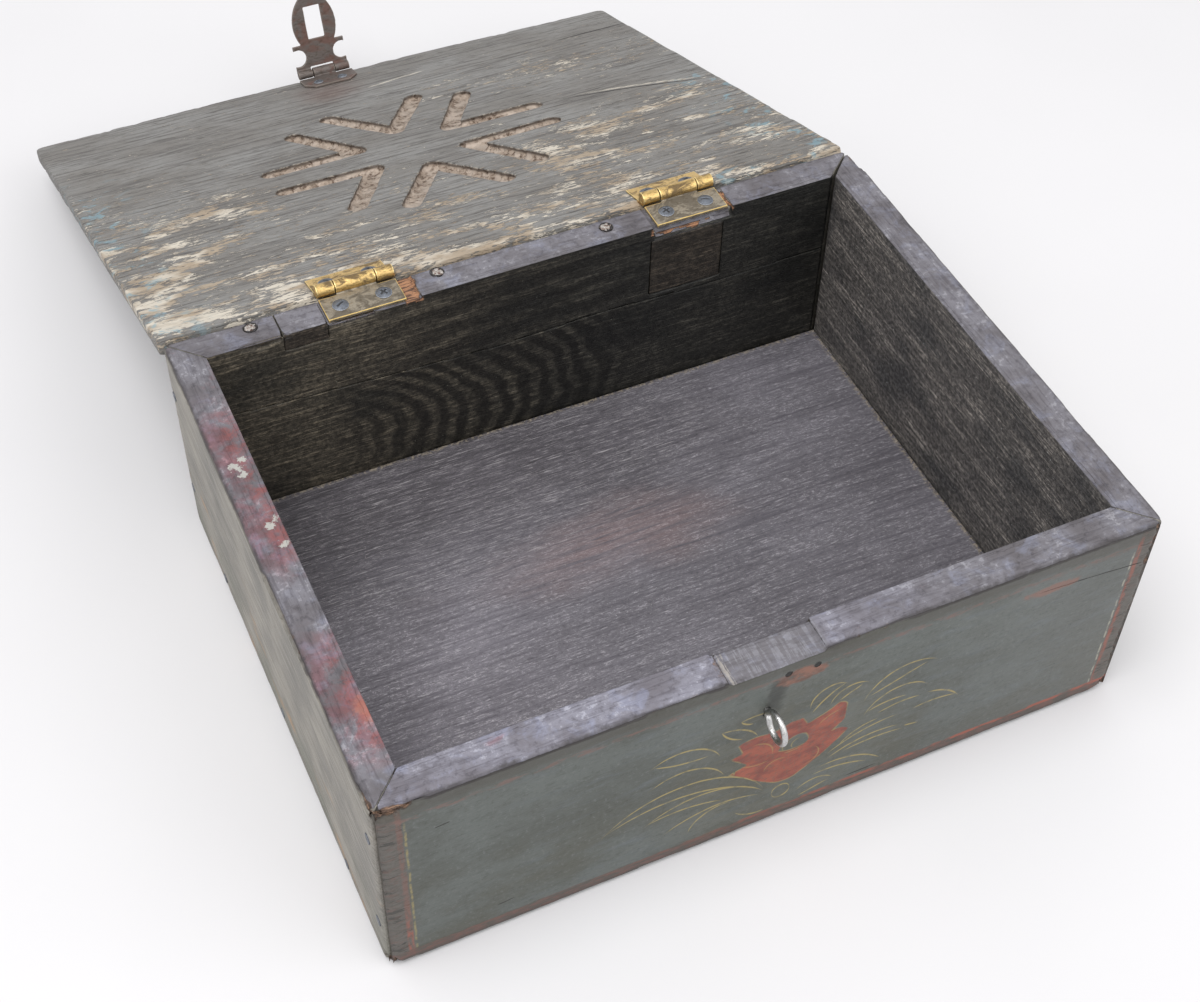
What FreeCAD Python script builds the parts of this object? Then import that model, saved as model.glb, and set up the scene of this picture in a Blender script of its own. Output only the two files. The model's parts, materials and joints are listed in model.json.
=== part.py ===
import FreeCAD, Part
import Sketcher

import math
import os
import re

from FreeCAD import Placement, Rotation, Vector

# An old candle box: four mitred boards round a let-in floor, a carved one-board lid that
# hangs open behind the box on two brass butt hinges, and an iron hasp that drops over a
# wire staple. Millimetres. The origin is the middle of the box's underside, X to the
# right, Y to the back, Z up. The lid is stored wide open, resting against the back.

doc = FreeCAD.newDocument("CandleBox")
sizes = doc.addObject("Spreadsheet::Sheet", "Sizes")

DRIVING_SIZES = [
    # The carcase
    ("box_width", 250.0),
    ("box_depth", 191.0),
    ("box_height", 82.5),
    ("wall", 11.8),
    ("corner_round", 4.0),
    ("rim_round", 1.2),
    ("foot_round", 2.5),
    ("mitre_gap", 1.6),
    ("floor_thickness", 9.5),
    ("floor_play", 0.15),
    ("notch_left", 105.4),
    ("notch_width", 29.6),
    ("notch_depth", 1.3),
    ("joint_drop", 31.7),
    ("rim_patch_width", 14.7),
    ("rim_patch_depth", 7.0),
    ("back_patch_drop", 6.0),
    ("back_patch_over_joint", 1.2),
    ("back_patch_left_spare", 2.3),
    ("back_patch_right_short", 1.6),
    ("back_patch_depth", 3.0),
    ("plug_radius", 2.25),
    ("plug_depth", 12.0),
    # Nails
    ("nail_radius", 0.9),
    ("nail_head_radius", 1.7),
    ("nail_head_height", 0.5),
    ("nail_length", 26.0),
    ("nail_inset", 5.6),
    ("nail_low", 20.0),
    ("nail_high", 64.0),
    ("floor_nail_spacing", 60.0),
    # Hinges
    ("hinge_left", 52.3),
    ("hinge_right", 169.8),
    ("leaf_length", 26.8),
    ("leaf_reach", 13.3),
    ("leaf_thickness", 1.2),
    ("leaf_proud", 0.1),
    ("barrel_radius", 2.4),
    ("hinge_pin_radius", 1.1),
    ("pin_play", 0.05),
    ("outer_knuckle", 6.3),
    ("knuckle_gap", 0.3),
    ("hinge_setback", 2.3),
    ("mortise_left_play", 0.7),
    ("mortise_left_spare", 4.9),
    ("mortise_right_spare", 1.5),
    ("broken_depth", 3.6),
    ("broken_drop", 4.0),
    # Screws
    ("screw_spread", 14.9),
    ("screw_from_pin", 7.7),
    ("screw_head_radius", 2.9),
    ("screw_head_height", 0.85),
    ("screw_shank_radius", 1.5),
    ("box_screw_length", 12.0),
    ("lid_screw_length", 5.2),
    # The lid
    ("lid_thickness", 6.0),
    ("lid_behind_pin", 0.1),
    ("lid_over_left_back", 1.0),
    ("lid_over_left_front", 5.0),
    ("lid_over_right_back", -1.5),
    ("lid_over_right_front", -5.5),
    ("lid_over_front_left", 11.6),
    ("lid_over_front_right", 8.6),
    ("lid_bow", 2.2),
    ("lid_corner_round", 3.0),
    ("lid_top_round", 1.5),
    ("lid_under_round", 0.6),
    ("barrel_clearance", 0.6),
    ("open_angle", 198.0),
    # The carving
    ("carving_across", 121.9),
    ("carving_from_edge", 103.4),
    ("stroke_width", 7.0),
    ("stroke_depth", 3.0),
    ("stroke_root", 21.5),
    ("stroke_tip", 54.5),
    ("stroke_spread", 19.5),
    # The hasp and its staple
    ("hasp_middle", 118.0),
    ("hasp_clear_of_edge", 0.6),
    ("plate_width", 23.0),
    ("plate_reach", 13.8),
    ("plate_thickness", 1.0),
    ("plate_clip", 4.0),
    ("plate_barrel_radius", 2.1),
    ("plate_knuckle", 9.2),
    ("hasp_pin_radius", 1.0),
    ("plate_screw_spread", 10.4),
    ("plate_screw_from_pin", 9.3),
    ("plate_screw_head_radius", 2.1),
    ("plate_screw_head_height", 0.7),
    ("plate_screw_length", 4.5),
    ("tongue_barrel_radius", 1.8),
    ("tongue_thickness", 1.2),
    ("shoulder_width", 22.0),
    ("lug_reach", 12.0),
    ("bite_radius", 3.6),
    ("bite_reach", 6.8),
    ("bite_apart", 19.0),
    ("shield_root_width", 14.4),
    ("shield_side_radius", 16.2),
    ("shield_reach", 31.0),
    ("neck_width", 9.6),
    ("finial_radius", 3.6),
    ("finial_reach", 33.6),
    ("slot_width", 7.0),
    ("slot_start", 13.8),
    ("slot_end", 27.4),
    ("ring_height", 61.5),
    ("ring_out", 5.9),
    ("ring_radius", 4.7),
    ("wire_radius", 1.0),
    ("leg_gap", 0.1),
    ("leg_bend", 1.5),
    ("clinch_length", 7.0),
]

for row, (alias, value) in enumerate(DRIVING_SIZES, start=1):
    sizes.set(f"A{row}", alias)
    sizes.set(f"B{row}", str(value))
    sizes.setAlias(f"B{row}", alias)
doc.recompute()

ALIASES = {alias for alias, value in DRIVING_SIZES}

# Where the pins, the lid and the hasp lie, as formulas of the sizes above. The box leaves
# lie flush with the rim, so the pin stands over the rim by the barrel less one leaf.
PIN_BACK = "box_depth + hinge_setback"
PIN_UP = "box_height + barrel_radius - leaf_thickness"
LID_UNDER = "(barrel_radius - leaf_thickness + leaf_proud)"
LID_REACH_LEFT = "(box_depth + hinge_setback + lid_over_front_left)"
LID_REACH_RIGHT = "(box_depth + hinge_setback + lid_over_front_right)"
HASP_REACH = f"(({LID_REACH_LEFT} + {LID_REACH_RIGHT}) / 2 + lid_bow + hasp_clear_of_edge)"
HASP_DROP = f"({LID_UNDER} - plate_barrel_radius)"
MITRE_TIP = "corner_round * (1 - sqrt(0.5))"

# How the crack between the two back boards wanders: share of the width from the left,
# and height over or under the joint's middle height.
JOINT_WAVE = [(0.0, 4.6), (0.16, 1.9), (0.3, 0.1), (0.44, -1.4), (0.6, -0.1), (0.75, -1.6), (1.0, -0.8)]

# Each old screw hole in the back rim: from the left face, and in from the back face.
PLUG_PLACES = [(28.3, 3.8), (92.7, 3.0), (153.4, 4.6)]


def bound(formula):
    """The formula with every size name pointing at its cell in the sheet."""
    return re.sub(r"[a-z_]+", lambda word: "Sizes." + word[0] if word[0] in ALIASES else word[0], formula)


def number(formula):
    """What the formula comes to with the sheet's present sizes."""
    return float(sizes.evalExpression(bound(formula)))


def new_body(label):
    body = doc.addObject("PartDesign::Body", label)
    body.Label = label
    return body


def new_sketch(body, plane, name, offset="0", across="0", along="0"):
    """A sketch on one of the body's own planes, moved out along its normal and within it."""
    sketch = body.newObject("Sketcher::SketchObject", name)
    support = next(item for item in body.Origin.OriginFeatures if item.Role == plane)
    sketch.AttachmentSupport = [(support, "")]
    sketch.MapMode = "FlatFace"
    sketch.setExpression("AttachmentOffset.Base.x", bound(across))
    sketch.setExpression("AttachmentOffset.Base.y", bound(along))
    sketch.setExpression("AttachmentOffset.Base.z", bound(offset))
    return sketch


def pin_point(sketch, geometry, end, x_formula, y_formula):
    for direction, formula in (("DistanceX", x_formula), ("DistanceY", y_formula)):
        index = sketch.addConstraint(Sketcher.Constraint(direction, -1, 1, geometry, end, number(formula)))
        sketch.setExpression(f"Constraints[{index}]", bound(formula))


def arc_between(start, end, radius, large):
    """The arc that turns left from start to end; a large one goes the long way round."""
    chord = end - start
    height = math.sqrt(max(radius ** 2 - chord.Length ** 2 / 4, 0.0))
    left = Vector(-chord.y, chord.x, 0).normalize()
    centre = (start + end) / 2 + left * (-height if large else height)
    first = math.atan2(start.y - centre.y, start.x - centre.x)
    last = math.atan2(end.y - centre.y, end.x - centre.x)
    return Part.ArcOfCircle(Part.Circle(centre, Vector(0, 0, 1), radius), first, last)


def outline(sketch, corners):
    """A closed outline. A corner is (x, y) in formulas, or (x, y, turn, radius) where the
    edge that leaves it is an arc: turn is left, right, or left_large."""
    points = [Vector(number(corner[0]), number(corner[1]), 0) for corner in corners]
    ends = []
    for index, corner in enumerate(corners):
        here = points[index]
        there = points[(index + 1) % len(points)]
        if len(corner) == 2:
            edge = sketch.addGeometry(Part.LineSegment(here, there))
            ends.append((edge, 1, 2))
        elif corner[2] == "right":
            edge = sketch.addGeometry(arc_between(there, here, number(corner[3]), False))
            ends.append((edge, 2, 1))
        else:
            edge = sketch.addGeometry(arc_between(here, there, number(corner[3]), corner[2] == "left_large"))
            ends.append((edge, 1, 2))
    for index, corner in enumerate(corners):
        edge, start, end = ends[index]
        next_edge, next_start, next_end = ends[(index + 1) % len(ends)]
        sketch.addConstraint(Sketcher.Constraint("Coincident", edge, end, next_edge, next_start))
        pin_point(sketch, edge, start, corner[0], corner[1])
        if len(corner) > 2:
            radius = sketch.addConstraint(Sketcher.Constraint("Radius", edge, number(corner[3])))
            sketch.setExpression(f"Constraints[{radius}]", bound(corner[3]))


def rectangle(sketch, left, bottom, right, top):
    outline(sketch, [(left, bottom), (right, bottom), (right, top), (left, top)])


def circle(sketch, x_formula, y_formula, radius_formula):
    centre = Vector(number(x_formula), number(y_formula), 0)
    edge = sketch.addGeometry(Part.Circle(centre, Vector(0, 0, 1), number(radius_formula)))
    pin_point(sketch, edge, 3, x_formula, y_formula)
    radius = sketch.addConstraint(Sketcher.Constraint("Radius", edge, number(radius_formula)))
    sketch.setExpression(f"Constraints[{radius}]", bound(radius_formula))


def pad(body, sketch, length):
    feature = body.newObject("PartDesign::Pad", sketch.Name + "_pad")
    feature.Profile = sketch
    feature.setExpression("Length", bound(length))
    doc.recompute()
    return feature


def pocket(body, sketch, depth, reverse=False, both_ways=False):
    """A pocket, with a look at the volume so that one that misses the solid is noticed."""
    before = body.Shape.Volume
    feature = body.newObject("PartDesign::Pocket", sketch.Name + "_cut")
    feature.Profile = sketch
    feature.Reversed = reverse
    if both_ways:
        feature.SideType = "Symmetric"
    feature.setExpression("Length", bound(depth))
    doc.recompute()
    if feature.Shape.Volume > before - 0.01:
        raise RuntimeError(feature.Name + " cuts nothing")
    return feature


def revolve(body, sketch, axis):
    feature = body.newObject("PartDesign::Revolution", sketch.Name + "_turned")
    feature.Profile = sketch
    feature.ReferenceAxis = (sketch, [axis])
    feature.Angle = 360
    doc.recompute()
    return feature


def edges_where(shape, test):
    """Names of the edges whose every end point and middle pass the test."""
    names = []
    for index, edge in enumerate(shape.Edges, start=1):
        middle = edge.valueAt((edge.FirstParameter + edge.LastParameter) / 2)
        if all(test(point) for point in [vertex.Point for vertex in edge.Vertexes] + [middle]):
            names.append(f"Edge{index}")
    return names


def dress(body, kind, name, size, test):
    """A fillet or chamfer on the edges that pass the test."""
    base = body.Tip
    names = edges_where(base.Shape, test)
    if not names:
        raise RuntimeError(name + " finds no edge")
    feature = body.newObject("PartDesign::" + kind, name)
    feature.Base = (base, names)
    feature.setExpression("Radius" if kind == "Fillet" else "Size", bound(size))
    doc.recompute()
    return feature


def place(piece, x_formula, y_formula, z_formula, axis=Vector(0, 0, 1), angle="0"):
    """Bind the piece's place to the sheet, with a turn about one axis."""
    piece.Placement = Placement(Vector(), Rotation(axis, number(angle)))
    piece.setExpression("Placement.Rotation.Angle", bound(f"({angle}) * 1 deg"))
    for letter, formula in zip("xyz", (x_formula, y_formula, z_formula)):
        piece.setExpression(f"Placement.Base.{letter}", bound(f"({formula}) * 1 mm"))


def place_on_box(piece, x_formula="0", y_formula="0", z_formula="0"):
    """From the box's front left bottom corner."""
    place(piece, f"({x_formula}) - box_width / 2", f"({y_formula}) - box_depth / 2", z_formula)


def place_on_lid(piece, x_formula="0", y_formula="0", z_formula="0"):
    """From the hinge pins' line, in the closed lid's directions, swung open with the lid."""
    back = f"({y_formula}) * cos(open_angle * 1 deg) + ({z_formula}) * sin(open_angle * 1 deg)"
    lift = f"({z_formula}) * cos(open_angle * 1 deg) - ({y_formula}) * sin(open_angle * 1 deg)"
    place(
        piece,
        f"({x_formula}) - box_width / 2",
        f"{PIN_BACK} - box_depth / 2 + {back}",
        f"{PIN_UP} + {lift}",
        Vector(1, 0, 0),
        "-open_angle",
    )


def cut_by(label, blank, tools):
    """The blank less its fasteners, which then fill their holes exactly."""
    for tool in tools:
        cut = doc.addObject("Part::Cut", blank.Name + "_less_" + tool.Name)
        cut.Base = blank
        cut.Tool = tool
        doc.recompute()
        blank = cut
    blank.Label = label
    return blank


def group(label, pieces):
    """Identical loose pieces kept as one group of separate solids."""
    feature = doc.addObject("Part::Feature", label)
    feature.Label = label
    feature.Shape = Part.makeCompound(pieces)
    return feature


def copies(original, places):
    """Copies of a turned piece, each moved to its own place."""
    made = []
    for where in places:
        solid = original.Shape.copy()
        solid.Placement = where
        made.append(solid)
    return made


# The carcase

def wall_blank(label, length, end_gap="0"):
    """A mitred board, its outer face on y = 0 and its length along x, with half of each
    rounded corner. The far mitre can stand open on the inside by the end gap."""
    body = new_body(label + "_blank")
    plan = new_sketch(body, "XY_Plane", label + "_plan")
    outline(plan, [
        (MITRE_TIP, MITRE_TIP, "left", "corner_round"),
        ("corner_round", "0"),
        (f"{length} - corner_round", "0", "left", "corner_round"),
        (f"{length} - {MITRE_TIP}", MITRE_TIP),
        (f"{length} - wall", "wall"),
        (f"wall + {end_gap}", "wall"),
    ])
    pad(body, plan, "box_height")
    return body


def round_outer_edge(body, label, height, radius):
    level = number(height)
    limit = number(MITRE_TIP) + 0.01
    dress(body, "Fillet", label, radius, lambda point: abs(point.z - level) < 0.01 and point.y < limit)


def make_front_board():
    body = wall_blank("front_board", "box_width")
    round_outer_edge(body, "front_rim_round", "box_height", "rim_round")
    round_outer_edge(body, "front_foot_round", "0", "foot_round")
    notch = new_sketch(body, "XZ_Plane", "hasp_notch")
    rectangle(notch, "notch_left", "box_height - notch_depth", "notch_left + notch_width", "box_height + 1")
    pocket(body, notch, "wall")
    place_on_box(body)
    return body


def make_side_board(label, angle, x_formula, y_formula):
    body = wall_blank(label, "box_depth")
    round_outer_edge(body, label + "_rim_round", "box_height", "rim_round")
    round_outer_edge(body, label + "_foot_round", "0", "foot_round")
    place(body, x_formula, y_formula, "0", Vector(0, 0, 1), angle)
    return body


def joint_points():
    """The crack between the back boards, from the right end of the box to the left."""
    return [
        (f"box_width * {1 - share:.2f}", f"box_height - joint_drop + {rise}")
        for share, rise in reversed(JOINT_WAVE)
    ]


def place_at_back(piece):
    """The back boards are drawn from the box's right end, with their outer face to the back."""
    place(piece, "box_width / 2", "box_depth / 2", "0", Vector(0, 0, 1), "180")


def from_left(formula):
    """A place along the back boards, given from the box's left face."""
    return f"(box_width - ({formula}))"


RIM_PATCH_LEFT = "(hinge_left - mortise_left_play - rim_patch_width)"
MORTISE_LEFT_START = "(hinge_left - mortise_left_play)"
MORTISE_LEFT_END = "(hinge_left + leaf_length + mortise_left_spare)"
MORTISE_RIGHT_START = "(hinge_right - mortise_right_spare)"
MORTISE_RIGHT_END = "(hinge_right + leaf_length + mortise_right_spare)"
BACK_PATCH_LEFT = "(hinge_right - back_patch_left_spare)"
BACK_PATCH_RIGHT = "(hinge_right + leaf_length - back_patch_right_short)"
BACK_PATCH_BASE = "(box_height - joint_drop + back_patch_over_joint)"
BACK_PATCH_TOP = "(box_height - back_patch_drop)"


def make_back_board_lower():
    body = wall_blank("back_board_lower", "box_width", "mitre_gap")
    crack = new_sketch(body, "XZ_Plane", "lower_board_crack")
    points = joint_points()
    outline(crack, points + [("box_width", "box_height + 1"), ("0", "box_height + 1")])
    pocket(body, crack, "wall")
    round_outer_edge(body, "back_foot_round", "0", "foot_round")
    place_at_back(body)
    return body


def make_back_board_upper():
    body = wall_blank("back_board_upper", "box_width", "mitre_gap")
    crack = new_sketch(body, "XZ_Plane", "upper_board_crack")
    points = joint_points()
    outline(crack, [("0", "-1"), ("box_width", "-1")] + list(reversed(points)))
    pocket(body, crack, "wall")
    round_outer_edge(body, "back_rim_round", "box_height", "rim_round")
    for name, start, end in (
        ("left_mortise", MORTISE_LEFT_START, MORTISE_LEFT_END),
        ("right_mortise", MORTISE_RIGHT_START, MORTISE_RIGHT_END),
    ):
        mortise = new_sketch(body, "XZ_Plane", name)
        rectangle(mortise, from_left(end), "box_height - leaf_thickness", from_left(start), "box_height + 1")
        pocket(body, mortise, "wall")
    patch = new_sketch(body, "XZ_Plane", "rim_patch_seat")
    rectangle(
        patch,
        from_left(f"{RIM_PATCH_LEFT} + rim_patch_width"), "box_height - rim_patch_depth",
        from_left(RIM_PATCH_LEFT), "box_height + 1",
    )
    pocket(body, patch, "wall")
    broken = new_sketch(body, "YZ_Plane", "broken_out_wood", offset=from_left(MORTISE_RIGHT_START))
    outline(broken, [
        ("wall - broken_depth", "box_height - leaf_thickness"),
        ("wall", "box_height - leaf_thickness - broken_drop"),
        ("wall + 1", "box_height - leaf_thickness - broken_drop"),
        ("wall + 1", "box_height - leaf_thickness"),
    ])
    pocket(body, broken, f"{MORTISE_RIGHT_END} - {MORTISE_RIGHT_START}")
    seat = new_sketch(body, "XZ_Plane", "back_patch_seat", offset="-wall")
    rectangle(seat, from_left(BACK_PATCH_RIGHT), BACK_PATCH_BASE, from_left(BACK_PATCH_LEFT), BACK_PATCH_TOP)
    pocket(body, seat, "back_patch_depth", reverse=True)
    place_at_back(body)
    return body


def make_rim_patch():
    body = new_body("rim_patch")
    face = new_sketch(body, "XZ_Plane", "rim_patch_face", offset="-wall")
    rectangle(
        face,
        from_left(f"{RIM_PATCH_LEFT} + rim_patch_width"), "box_height - rim_patch_depth",
        from_left(RIM_PATCH_LEFT), "box_height",
    )
    pad(body, face, "wall")
    top = number("box_height")
    dress(body, "Fillet", "rim_patch_round", "rim_round", lambda point: (
        point.z > top - 0.01 and point.y < 0.01
    ))
    place_at_back(body)
    return body


def make_back_wall_patch():
    body = new_body("back_wall_patch")
    face = new_sketch(body, "XZ_Plane", "back_patch_face", offset="-wall")
    rectangle(face, from_left(BACK_PATCH_RIGHT), BACK_PATCH_BASE, from_left(BACK_PATCH_LEFT), BACK_PATCH_TOP)
    pad(body, face, "back_patch_depth")
    place_at_back(body)
    return body


def make_floor_board():
    body = new_body("floor_board_blank")
    plan = new_sketch(body, "XY_Plane", "floor_plan")
    rectangle(
        plan, "wall + floor_play", "wall + floor_play",
        "box_width - wall - floor_play", "box_depth - wall - floor_play",
    )
    pad(body, plan, "floor_thickness")
    place_on_box(body)
    return body


def make_plugs():
    """Tapered pegs in the old screw holes of the back rim, cut off flush."""
    body = new_body("plug_pattern")
    half = new_sketch(body, "XZ_Plane", "plug_half")
    outline(half, [
        ("0", "0"),
        ("0", "-plug_depth"),
        ("plug_radius * 0.7", "-plug_depth"),
        ("plug_radius", "0"),
    ])
    revolve(body, half, "V_Axis")
    middle = number("box_width / 2")
    back = number("box_depth / 2")
    rim = number("box_height")
    places = [
        Placement(Vector(across - middle, back - inward, rim), Rotation())
        for across, inward in PLUG_PLACES
    ]
    return group("screw_hole_plugs", copies(body, places))


# Nails and screws

def nail_pattern():
    body = new_body("nail_pattern")
    half = new_sketch(body, "XZ_Plane", "nail_half")
    outline(half, [
        ("0", "0"),
        ("0", "-nail_length"),
        ("nail_radius * 0.3", "-nail_length"),
        ("nail_radius", "-nail_length + nail_radius * 3"),
        ("nail_radius", "-nail_head_height"),
        ("nail_head_radius", "-nail_head_height"),
        ("nail_head_radius", "0"),
    ])
    revolve(body, half, "V_Axis")
    return body


def side_nails(label, pattern, heights_and_depths):
    """Nails driven level through both side boards, heads flush with their outer faces."""
    half_width = number("box_width / 2")
    inward_from_left = Rotation(Vector(0, 1, 0), -90)
    inward_from_right = Rotation(Vector(0, 1, 0), 90)
    places = []
    for height, depth in heights_and_depths:
        places.append(Placement(Vector(-half_width, depth, height), inward_from_left))
        places.append(Placement(Vector(half_width, depth, height), inward_from_right))
    return group(label, copies(pattern, places))


def make_corner_nails(pattern):
    reach = number("box_depth / 2 - nail_inset")
    spots = [(number(height), depth) for height in ("nail_low", "nail_high") for depth in (-reach, reach)]
    return side_nails("corner_nails", pattern, spots)


def make_floor_nails(pattern):
    level = number("floor_thickness / 2")
    spacing = number("floor_nail_spacing")
    return side_nails("floor_nails", pattern, [(level, step * spacing) for step in (-1, 0, 1)])


def screw_pattern(label, head_radius, head_height, length, seat):
    """A round-headed screw, head up, its neck filling the countersunk plate under it."""
    body = new_body(label)
    half = new_sketch(body, "XZ_Plane", label + "_half")
    dome = f"(({head_radius}) ^ 2 / (2 * ({head_height})) + ({head_height}) / 2)"
    outline(half, [
        ("0", head_height),
        ("0", f"-({length})"),
        ("screw_shank_radius * 0.2", f"-({length})"),
        ("screw_shank_radius", f"-({length}) + screw_shank_radius * 1.6"),
        ("screw_shank_radius", f"-({seat})"),
        (head_radius, "0", "left", dome),
    ])
    revolve(body, half, "V_Axis")
    return body


def hinge_screw_spots():
    """Along the box for each hinge's two screws."""
    middle = number("leaf_length / 2")
    half_spread = number("screw_spread / 2")
    return [
        number(side) + middle + way * half_spread
        for side in ("hinge_left", "hinge_right")
        for way in (-1, 1)
    ]


def make_box_hinge_screws():
    pattern = screw_pattern(
        "box_screw_pattern", "screw_head_radius", "screw_head_height", "box_screw_length", "leaf_thickness"
    )
    depth = number(f"{PIN_BACK} - screw_from_pin - box_depth / 2")
    middle = number("box_width / 2")
    rim = number("box_height")
    places = [
        Placement(Vector(across - middle, depth, rim), Rotation())
        for across in hinge_screw_spots()
    ]
    return group("box_hinge_screws", copies(pattern, places))


def make_lid_hinge_screws():
    pattern = screw_pattern(
        "lid_screw_pattern", "screw_head_radius", "screw_head_height", "lid_screw_length", "leaf_thickness"
    )
    level = number("barrel_radius - leaf_thickness")
    turned = Rotation(Vector(1, 0, 0), 180)
    places = []
    for across in hinge_screw_spots():
        places.append(Placement(Vector(across, -number("screw_from_pin"), level), turned))
    feature = group("lid_hinge_screws", copies(pattern, places))
    place_on_lid(feature)
    return feature


def make_hasp_screws():
    pattern = screw_pattern(
        "hasp_screw_pattern", "plate_screw_head_radius", "plate_screw_head_height",
        "plate_screw_length", "plate_thickness",
    )
    level = number("plate_barrel_radius - plate_thickness")
    turned = Rotation(Vector(1, 0, 0), 180)
    places = []
    for way in (-1, 1):
        across = number("hasp_middle") + way * number("plate_screw_spread / 2")
        places.append(Placement(Vector(across, number("plate_screw_from_pin"), level), turned))
    feature = group("hasp_screws", copies(pattern, places))
    place_on_lid(feature, "0", f"-{HASP_REACH}", HASP_DROP)
    return feature


# Hinges

def rolled_leaf(body, name, sign, length, reach, thickness, radius, start="0"):
    """A plate rolled into a barrel at one end, drawn end on. The plate lies level over
    (sign 1) or under (sign -1) the pin line and reaches away from it along y."""
    profile = new_sketch(body, "YZ_Plane", name, offset=start)
    inner = f"({radius} - {thickness})"
    meets = f"sqrt({radius} ^ 2 - {inner} ^ 2)"
    if sign > 0:
        outline(profile, [
            ("0", radius),
            (f"-({reach})", radius),
            (f"-({reach})", inner),
            (f"-{meets}", inner, "left_large", radius),
        ])
    else:
        outline(profile, [
            (f"-({reach})", f"-{inner}"),
            (f"-({reach})", f"-({radius})"),
            ("0", f"-({radius})", "left_large", radius),
            (f"-{meets}", f"-{inner}"),
        ])
    return pad(body, profile, length)


def clear_knuckles(body, name, spans, near, far, depth):
    """Take away the barrel, and the plate beside it, where the other leaf's knuckles run."""
    for index, (start, end) in enumerate(spans):
        gap = new_sketch(body, "XY_Plane", f"{name}_{index}")
        rectangle(gap, start, near, end, far)
        pocket(body, gap, depth, both_ways=True)


def bore(body, name, radius, start, length):
    hole = new_sketch(body, "YZ_Plane", name, offset=start)
    circle(hole, "0", "0", radius)
    pocket(body, hole, length, reverse=True)


def make_box_leaf(label, left):
    """The leaf on the box, with the long middle knuckle."""
    body = new_body(label + "_blank")
    rolled_leaf(body, label + "_profile", -1, "leaf_length", "leaf_reach", "leaf_thickness", "barrel_radius")
    clear_knuckles(
        body, label + "_gap",
        [("-1", "outer_knuckle + knuckle_gap / 2"),
         ("leaf_length - outer_knuckle - knuckle_gap / 2", "leaf_length + 1")],
        "-barrel_radius - knuckle_gap", "barrel_radius + 1", "barrel_radius * 3",
    )
    bore(body, label + "_bore", "hinge_pin_radius", "-1", "leaf_length + 2")
    place_on_box(body, left, PIN_BACK, PIN_UP)
    return body


def make_lid_leaf(label, left):
    """The leaf on the lid, with a short knuckle at each end that turns on the pin."""
    body = new_body(label + "_blank")
    rolled_leaf(body, label + "_profile", 1, "leaf_length", "leaf_reach", "leaf_thickness", "barrel_radius")
    clear_knuckles(
        body, label + "_gap",
        [("outer_knuckle - knuckle_gap / 2", "leaf_length - outer_knuckle + knuckle_gap / 2")],
        "-barrel_radius - knuckle_gap", "barrel_radius + 1", "barrel_radius * 3",
    )
    bore(body, label + "_bore", "hinge_pin_radius + pin_play", "-1", "leaf_length + 2")
    place_on_lid(body, left)
    return body


def make_pin(label, radius, length):
    pin = doc.addObject("Part::Cylinder", label)
    pin.Label = label
    pin.setExpression("Radius", bound(radius))
    pin.setExpression("Height", bound(length))
    return pin


def make_hinge_pin(label, left):
    pin = make_pin(label, "hinge_pin_radius", "leaf_length")
    place(pin, f"{left} - box_width / 2", f"{PIN_BACK} - box_depth / 2", PIN_UP, Vector(0, 1, 0), "90")
    return pin


# The lid

def make_lid_board():
    """One board, a little out of square, drawn closed: x from the box's left face, y back
    from the pin line and z over it."""
    body = new_body("lid_board_blank")
    plan = new_sketch(body, "XY_Plane", "lid_plan", offset=LID_UNDER)
    left_front = "-lid_over_left_front"
    right_front = "box_width + lid_over_right_front"
    width = f"({right_front} - ({left_front}))"
    slant = f"({LID_REACH_LEFT} - {LID_REACH_RIGHT})"
    chord_squared = f"({width} ^ 2 + {slant} ^ 2)"
    outline(plan, [
        ("-lid_over_left_back", "lid_behind_pin"),
        (left_front, f"-{LID_REACH_LEFT}", "left", f"{chord_squared} / (8 * lid_bow) + lid_bow / 2"),
        (right_front, f"-{LID_REACH_RIGHT}"),
        ("box_width + lid_over_right_back", "lid_behind_pin"),
    ])
    pad(body, plan, "lid_thickness")
    front = -number(f"{LID_REACH_RIGHT}") + 1
    under = number(LID_UNDER)
    top = number(f"{LID_UNDER} + lid_thickness")
    middle = number("box_width / 2")
    reach = middle - number("stroke_tip")
    dress(body, "Fillet", "lid_corners", "lid_corner_round", lambda point: (
        point.y < front and abs(point.x - middle) > reach
    ))
    dress(body, "Fillet", "lid_top_arris", "lid_top_round", lambda point: point.z > top - 0.01)
    dress(body, "Fillet", "lid_under_arris", "lid_under_round", lambda point: point.z < under + 0.01)
    for side in ("hinge_left", "hinge_right"):
        gouge = new_sketch(body, "XY_Plane", side + "_gouge", offset=LID_UNDER)
        rectangle(
            gouge, f"{side} - barrel_clearance", "-barrel_radius - barrel_clearance",
            f"{side} + leaf_length + barrel_clearance", "lid_behind_pin + 1",
        )
        pocket(body, gouge, f"barrel_radius + barrel_clearance - {LID_UNDER}", reverse=True)
        recess = new_sketch(body, "XY_Plane", side + "_recess", offset=LID_UNDER)
        rectangle(
            recess, side, "-leaf_reach",
            f"{side} + leaf_length", "-barrel_radius - barrel_clearance / 2",
        )
        pocket(body, recess, "leaf_thickness - leaf_proud", reverse=True)
    carve(body)
    place_on_lid(body)
    return body


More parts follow.
